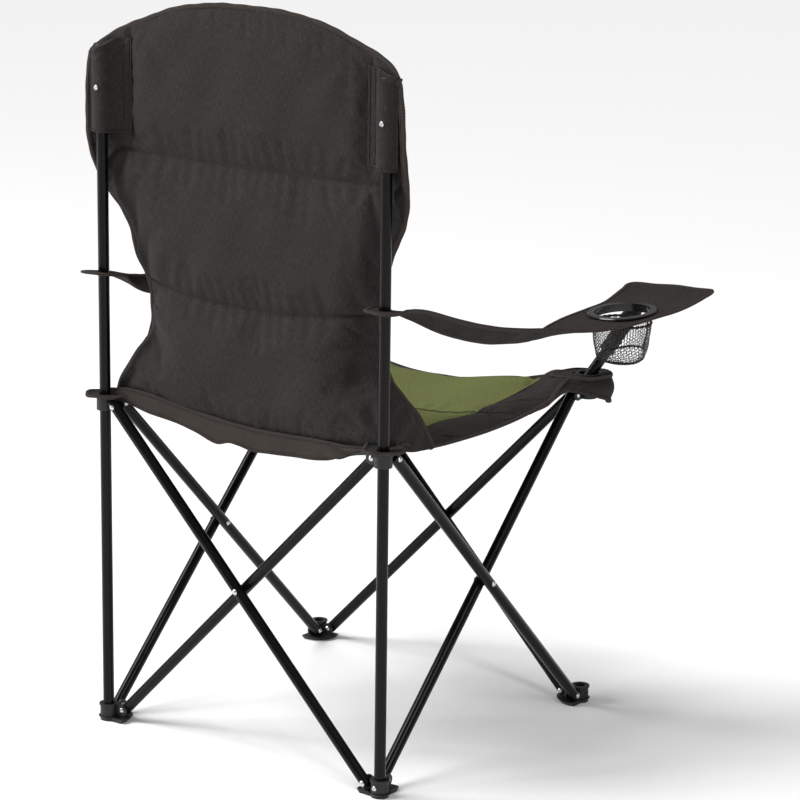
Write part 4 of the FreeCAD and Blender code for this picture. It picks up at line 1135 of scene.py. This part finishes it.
def threads(name, lines, radius):
    """Yarns of a net: each line is one closed tube of square section, all in one mesh."""
    points, faces = [], []
    turn = np.arange(4) * math.pi / 2
    start = 0
    for line in lines:
        across, up = frames_of(line, np.array([0.31, 0.22, 0.92]))
        tube = (line[:, None] + radius * (across[:, None] * np.cos(turn)[None, :, None]
                                          + up[:, None] * np.sin(turn)[None, :, None]))
        points.append(tube.reshape(-1, 3))
        faces += [tuple(f + start) for f in quads(len(line), 4, wrap=True)]
        faces += [tuple(range(start, start + 4)),
                  tuple(start + 4 * len(line) - 1 - k for k in range(4))]
        start += 4 * len(line)
    piece = make(name, np.concatenate(points), faces, [NET])
    outward(piece)
    return piece


def cup_net():
    """Net bag under the cup ring. Its threads hang round it and each zigzags against its
    neighbours, so they meet at every other corner and leave six-sided cells. The bottom is the
    same net laid flat, and the hem of the wall is a cord."""
    low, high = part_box("cup_bag")
    centre = np.array([(low.x + high.x) / 2.0, (low.y + high.y) / 2.0, 0.0]) - CENTRE
    top, bottom = high.z, low.z + 1.5 * MM
    top_radius = (high.x - low.x) / 2.0 - 1.0 * MM
    count, cell = 62, 4.2 * MM
    way = math.atan2(-1.0, -0.55)

    def wall(turn, height):
        share = (top - height) / (top - bottom)
        belly = (top_radius - 5.5 * MM * share ** 1.5 - 3.0 * MM * share ** 8
                 + 1.2 * MM * np.sin(3 * turn + 1.0) * share
                 + 0.8 * MM * np.sin(7 * turn + 9.0 * share) * share)
        lift = 10.0 * MM + 9.0 * MM * np.clip(np.cos(turn - way), 0.0, 1.0) ** 2
        sag = (1.5 * MM * np.sin(2 * turn + 0.5) + 3.0 * MM * np.cos(turn - 2.3) - lift) * share
        return np.stack([centre[0] + belly * np.cos(turn), centre[1] + belly * np.sin(turn),
                         height - sag], axis=-1)

    steps = int((top - bottom) / cell) * 3 + 1
    heights = np.linspace(top, bottom, steps)
    pattern = np.array([1.0, 1.0, -1.0, -1.0])[np.arange(steps) % 4]
    lines = []
    for k in range(count):
        swing = pattern * (1 if k % 2 else -1) * 0.46 * math.pi / count
        lines.append(wall(2 * math.pi * k / count + swing, heights))
    floor_radius = top_radius - 9.0 * MM
    across = np.arange(-floor_radius + 2 * MM, floor_radius, cell * 0.95)
    for k, offset in enumerate(across):
        reach = math.sqrt(max(floor_radius ** 2 - offset ** 2, 1e-6))
        places = np.arange(-reach, reach, cell / 2.4)
        if len(places) < 4:
            continue
        swing = np.array([1.0, 1.0, -1.0, -1.0])[np.arange(len(places)) % 4]
        swing = swing * (1 if k % 2 else -1) * 0.46 * cell * 0.95
        rim = wall(np.arctan2(places, offset), bottom)[:, 2]
        share = (places ** 2 + offset ** 2) / floor_radius ** 2
        lines.append(np.stack([centre[0] + offset + swing, centre[1] + places,
                               bottom + (rim - bottom) * share], axis=-1))
    net = threads("cup_bag_net", lines, 0.55 * MM)
    with_cup(net)
    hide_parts("cup_bag")
    turn = np.linspace(0.0, 2.0 * math.pi, 121)[:-1]
    for tag, height, size in (("hem", bottom, 2.6 * MM), ("top", top - 1.0 * MM, 3.0 * MM)):
        path = wall(turn, np.full(120, height))
        with_cup(carry(f"cup_bag_{tag}", path, UP, profile_ring(size, size * 1.3, 8, 2.0), BLACK,
                       closed=True, scale=1.0 + 0.2 * np.sin(turn * 31.0)))
    # The seam up the outer side, with its knot
    path = wall(np.full(40, way), np.linspace(top, bottom, 40))
    swell = 1.0 + 0.25 * np.sin(np.linspace(0, 40, 40)) + np.linspace(0, 0.9, 40) ** 3
    with_cup(carry("cup_bag_seam", path, np.array([math.cos(way), math.sin(way), 0.0]),
                   profile_ring(3.4 * MM, 2.6 * MM, 8, 2.0), BLACK, scale=swell))


# ---------------------------------------------------------------- build

back = back_panel()
back_binding()
back_seams(back)
rear_hem()
cushion = seat()
seat_trim(cushion)
for side in SIDES:
    flap(side)
    post_pocket(side)
    corner_patch(False, side)
    corner_patch(True, side)
    skirt(side)
    arm_panel(side)
    arm_sleeve(side)
cup_net()

# The first row with a word that is in the node's name gives its finish.
FINISHES = ((RING, ("cup_ring",)), (ZINC, ("rivet", "screw", "pin")),
            (NYLON, ("foot", "hub", "cap", "eyelet")), (STEEL, ("",)))
for name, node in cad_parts.items():
    node.data.materials.clear()
    node.data.materials.append(next(finish for finish, words in FINISHES
                                    if any(word in name for word in words)))


# ---------------------------------------------------------------- floor, light and camera

def floor():
    """Plain white floor, a disc 40 m across."""
    turn = np.linspace(0.0, 2.0 * math.pi, 64, endpoint=False)
    points = np.stack([20 * np.cos(turn), 20 * np.sin(turn), np.zeros(64)], axis=1) - CENTRE
    white = new_material("white_studio_floor", Base_Color=colour("ffffff"), Roughness=0.9)[0]
    make("studio_floor", points, [tuple(range(64))], [white])


def lamp(name, kind, place, target, energy, **settings):
    """A light that faces a point."""
    light = bpy.data.lights.new(name, kind)
    light.energy = energy
    for key, value in settings.items():
        setattr(light, key, value)
    stand = bpy.data.objects.new(name, light)
    bpy.context.scene.collection.objects.link(stand)
    stand.location = place
    stand.rotation_mode = "QUATERNION"
    stand.rotation_quaternion = (Vector(target) - Vector(place)).to_track_quat("-Z", "Y")


def camera():
    """Camera behind the chair, to the sitter's right and a little above it."""
    turned, raised, rolled = (math.radians(a) for a in (216.541, 14.064, 0.709))
    target = Vector((-0.09125, CENTRE[1], 0.48965))
    back = Vector((math.sin(turned) * math.cos(raised), -math.cos(turned) * math.cos(raised),
                   math.sin(raised)))
    data = bpy.data.cameras.new("camera")
    data.lens, data.sensor_width = 138.04, 36.0
    eye = bpy.data.objects.new("camera", data)
    bpy.context.scene.collection.objects.link(eye)
    eye.rotation_mode = "QUATERNION"
    eye.location = target + back * 4.4
    eye.rotation_quaternion = ((-back).to_track_quat("-Z", "Y")
                               @ Matrix.Rotation(rolled, 4, "Z").to_quaternion())
    bpy.context.scene.camera = eye


floor()
lamp("key_softbox", "AREA", (-3.4, 1.4, 2.2), (0.0, 0.1, 0.5), 45, shape="RECTANGLE", size=0.5,
     size_y=2.4)
lamp("side_softbox", "AREA", (3.4, 2.3, 2.0), (0.0, 0.1, 0.6), 120, shape="RECTANGLE", size=0.8,
     size_y=2.2)
# Even light from high behind the camera, which keeps the whole floor white
lamp("overhead", "SUN", (0.0, 0.0, 0.0), (-0.55, -0.35, -1.0), 2.25, angle=math.radians(30.0))
world = bpy.data.worlds.new("studio")
world.use_nodes = True
world.node_tree.nodes["Background"].inputs["Color"].default_value = colour("ffffff")
world.node_tree.nodes["Background"].inputs["Strength"].default_value = 0.3
bpy.context.scene.world = world
bpy.context.scene.view_settings.view_transform = "Standard"
camera()
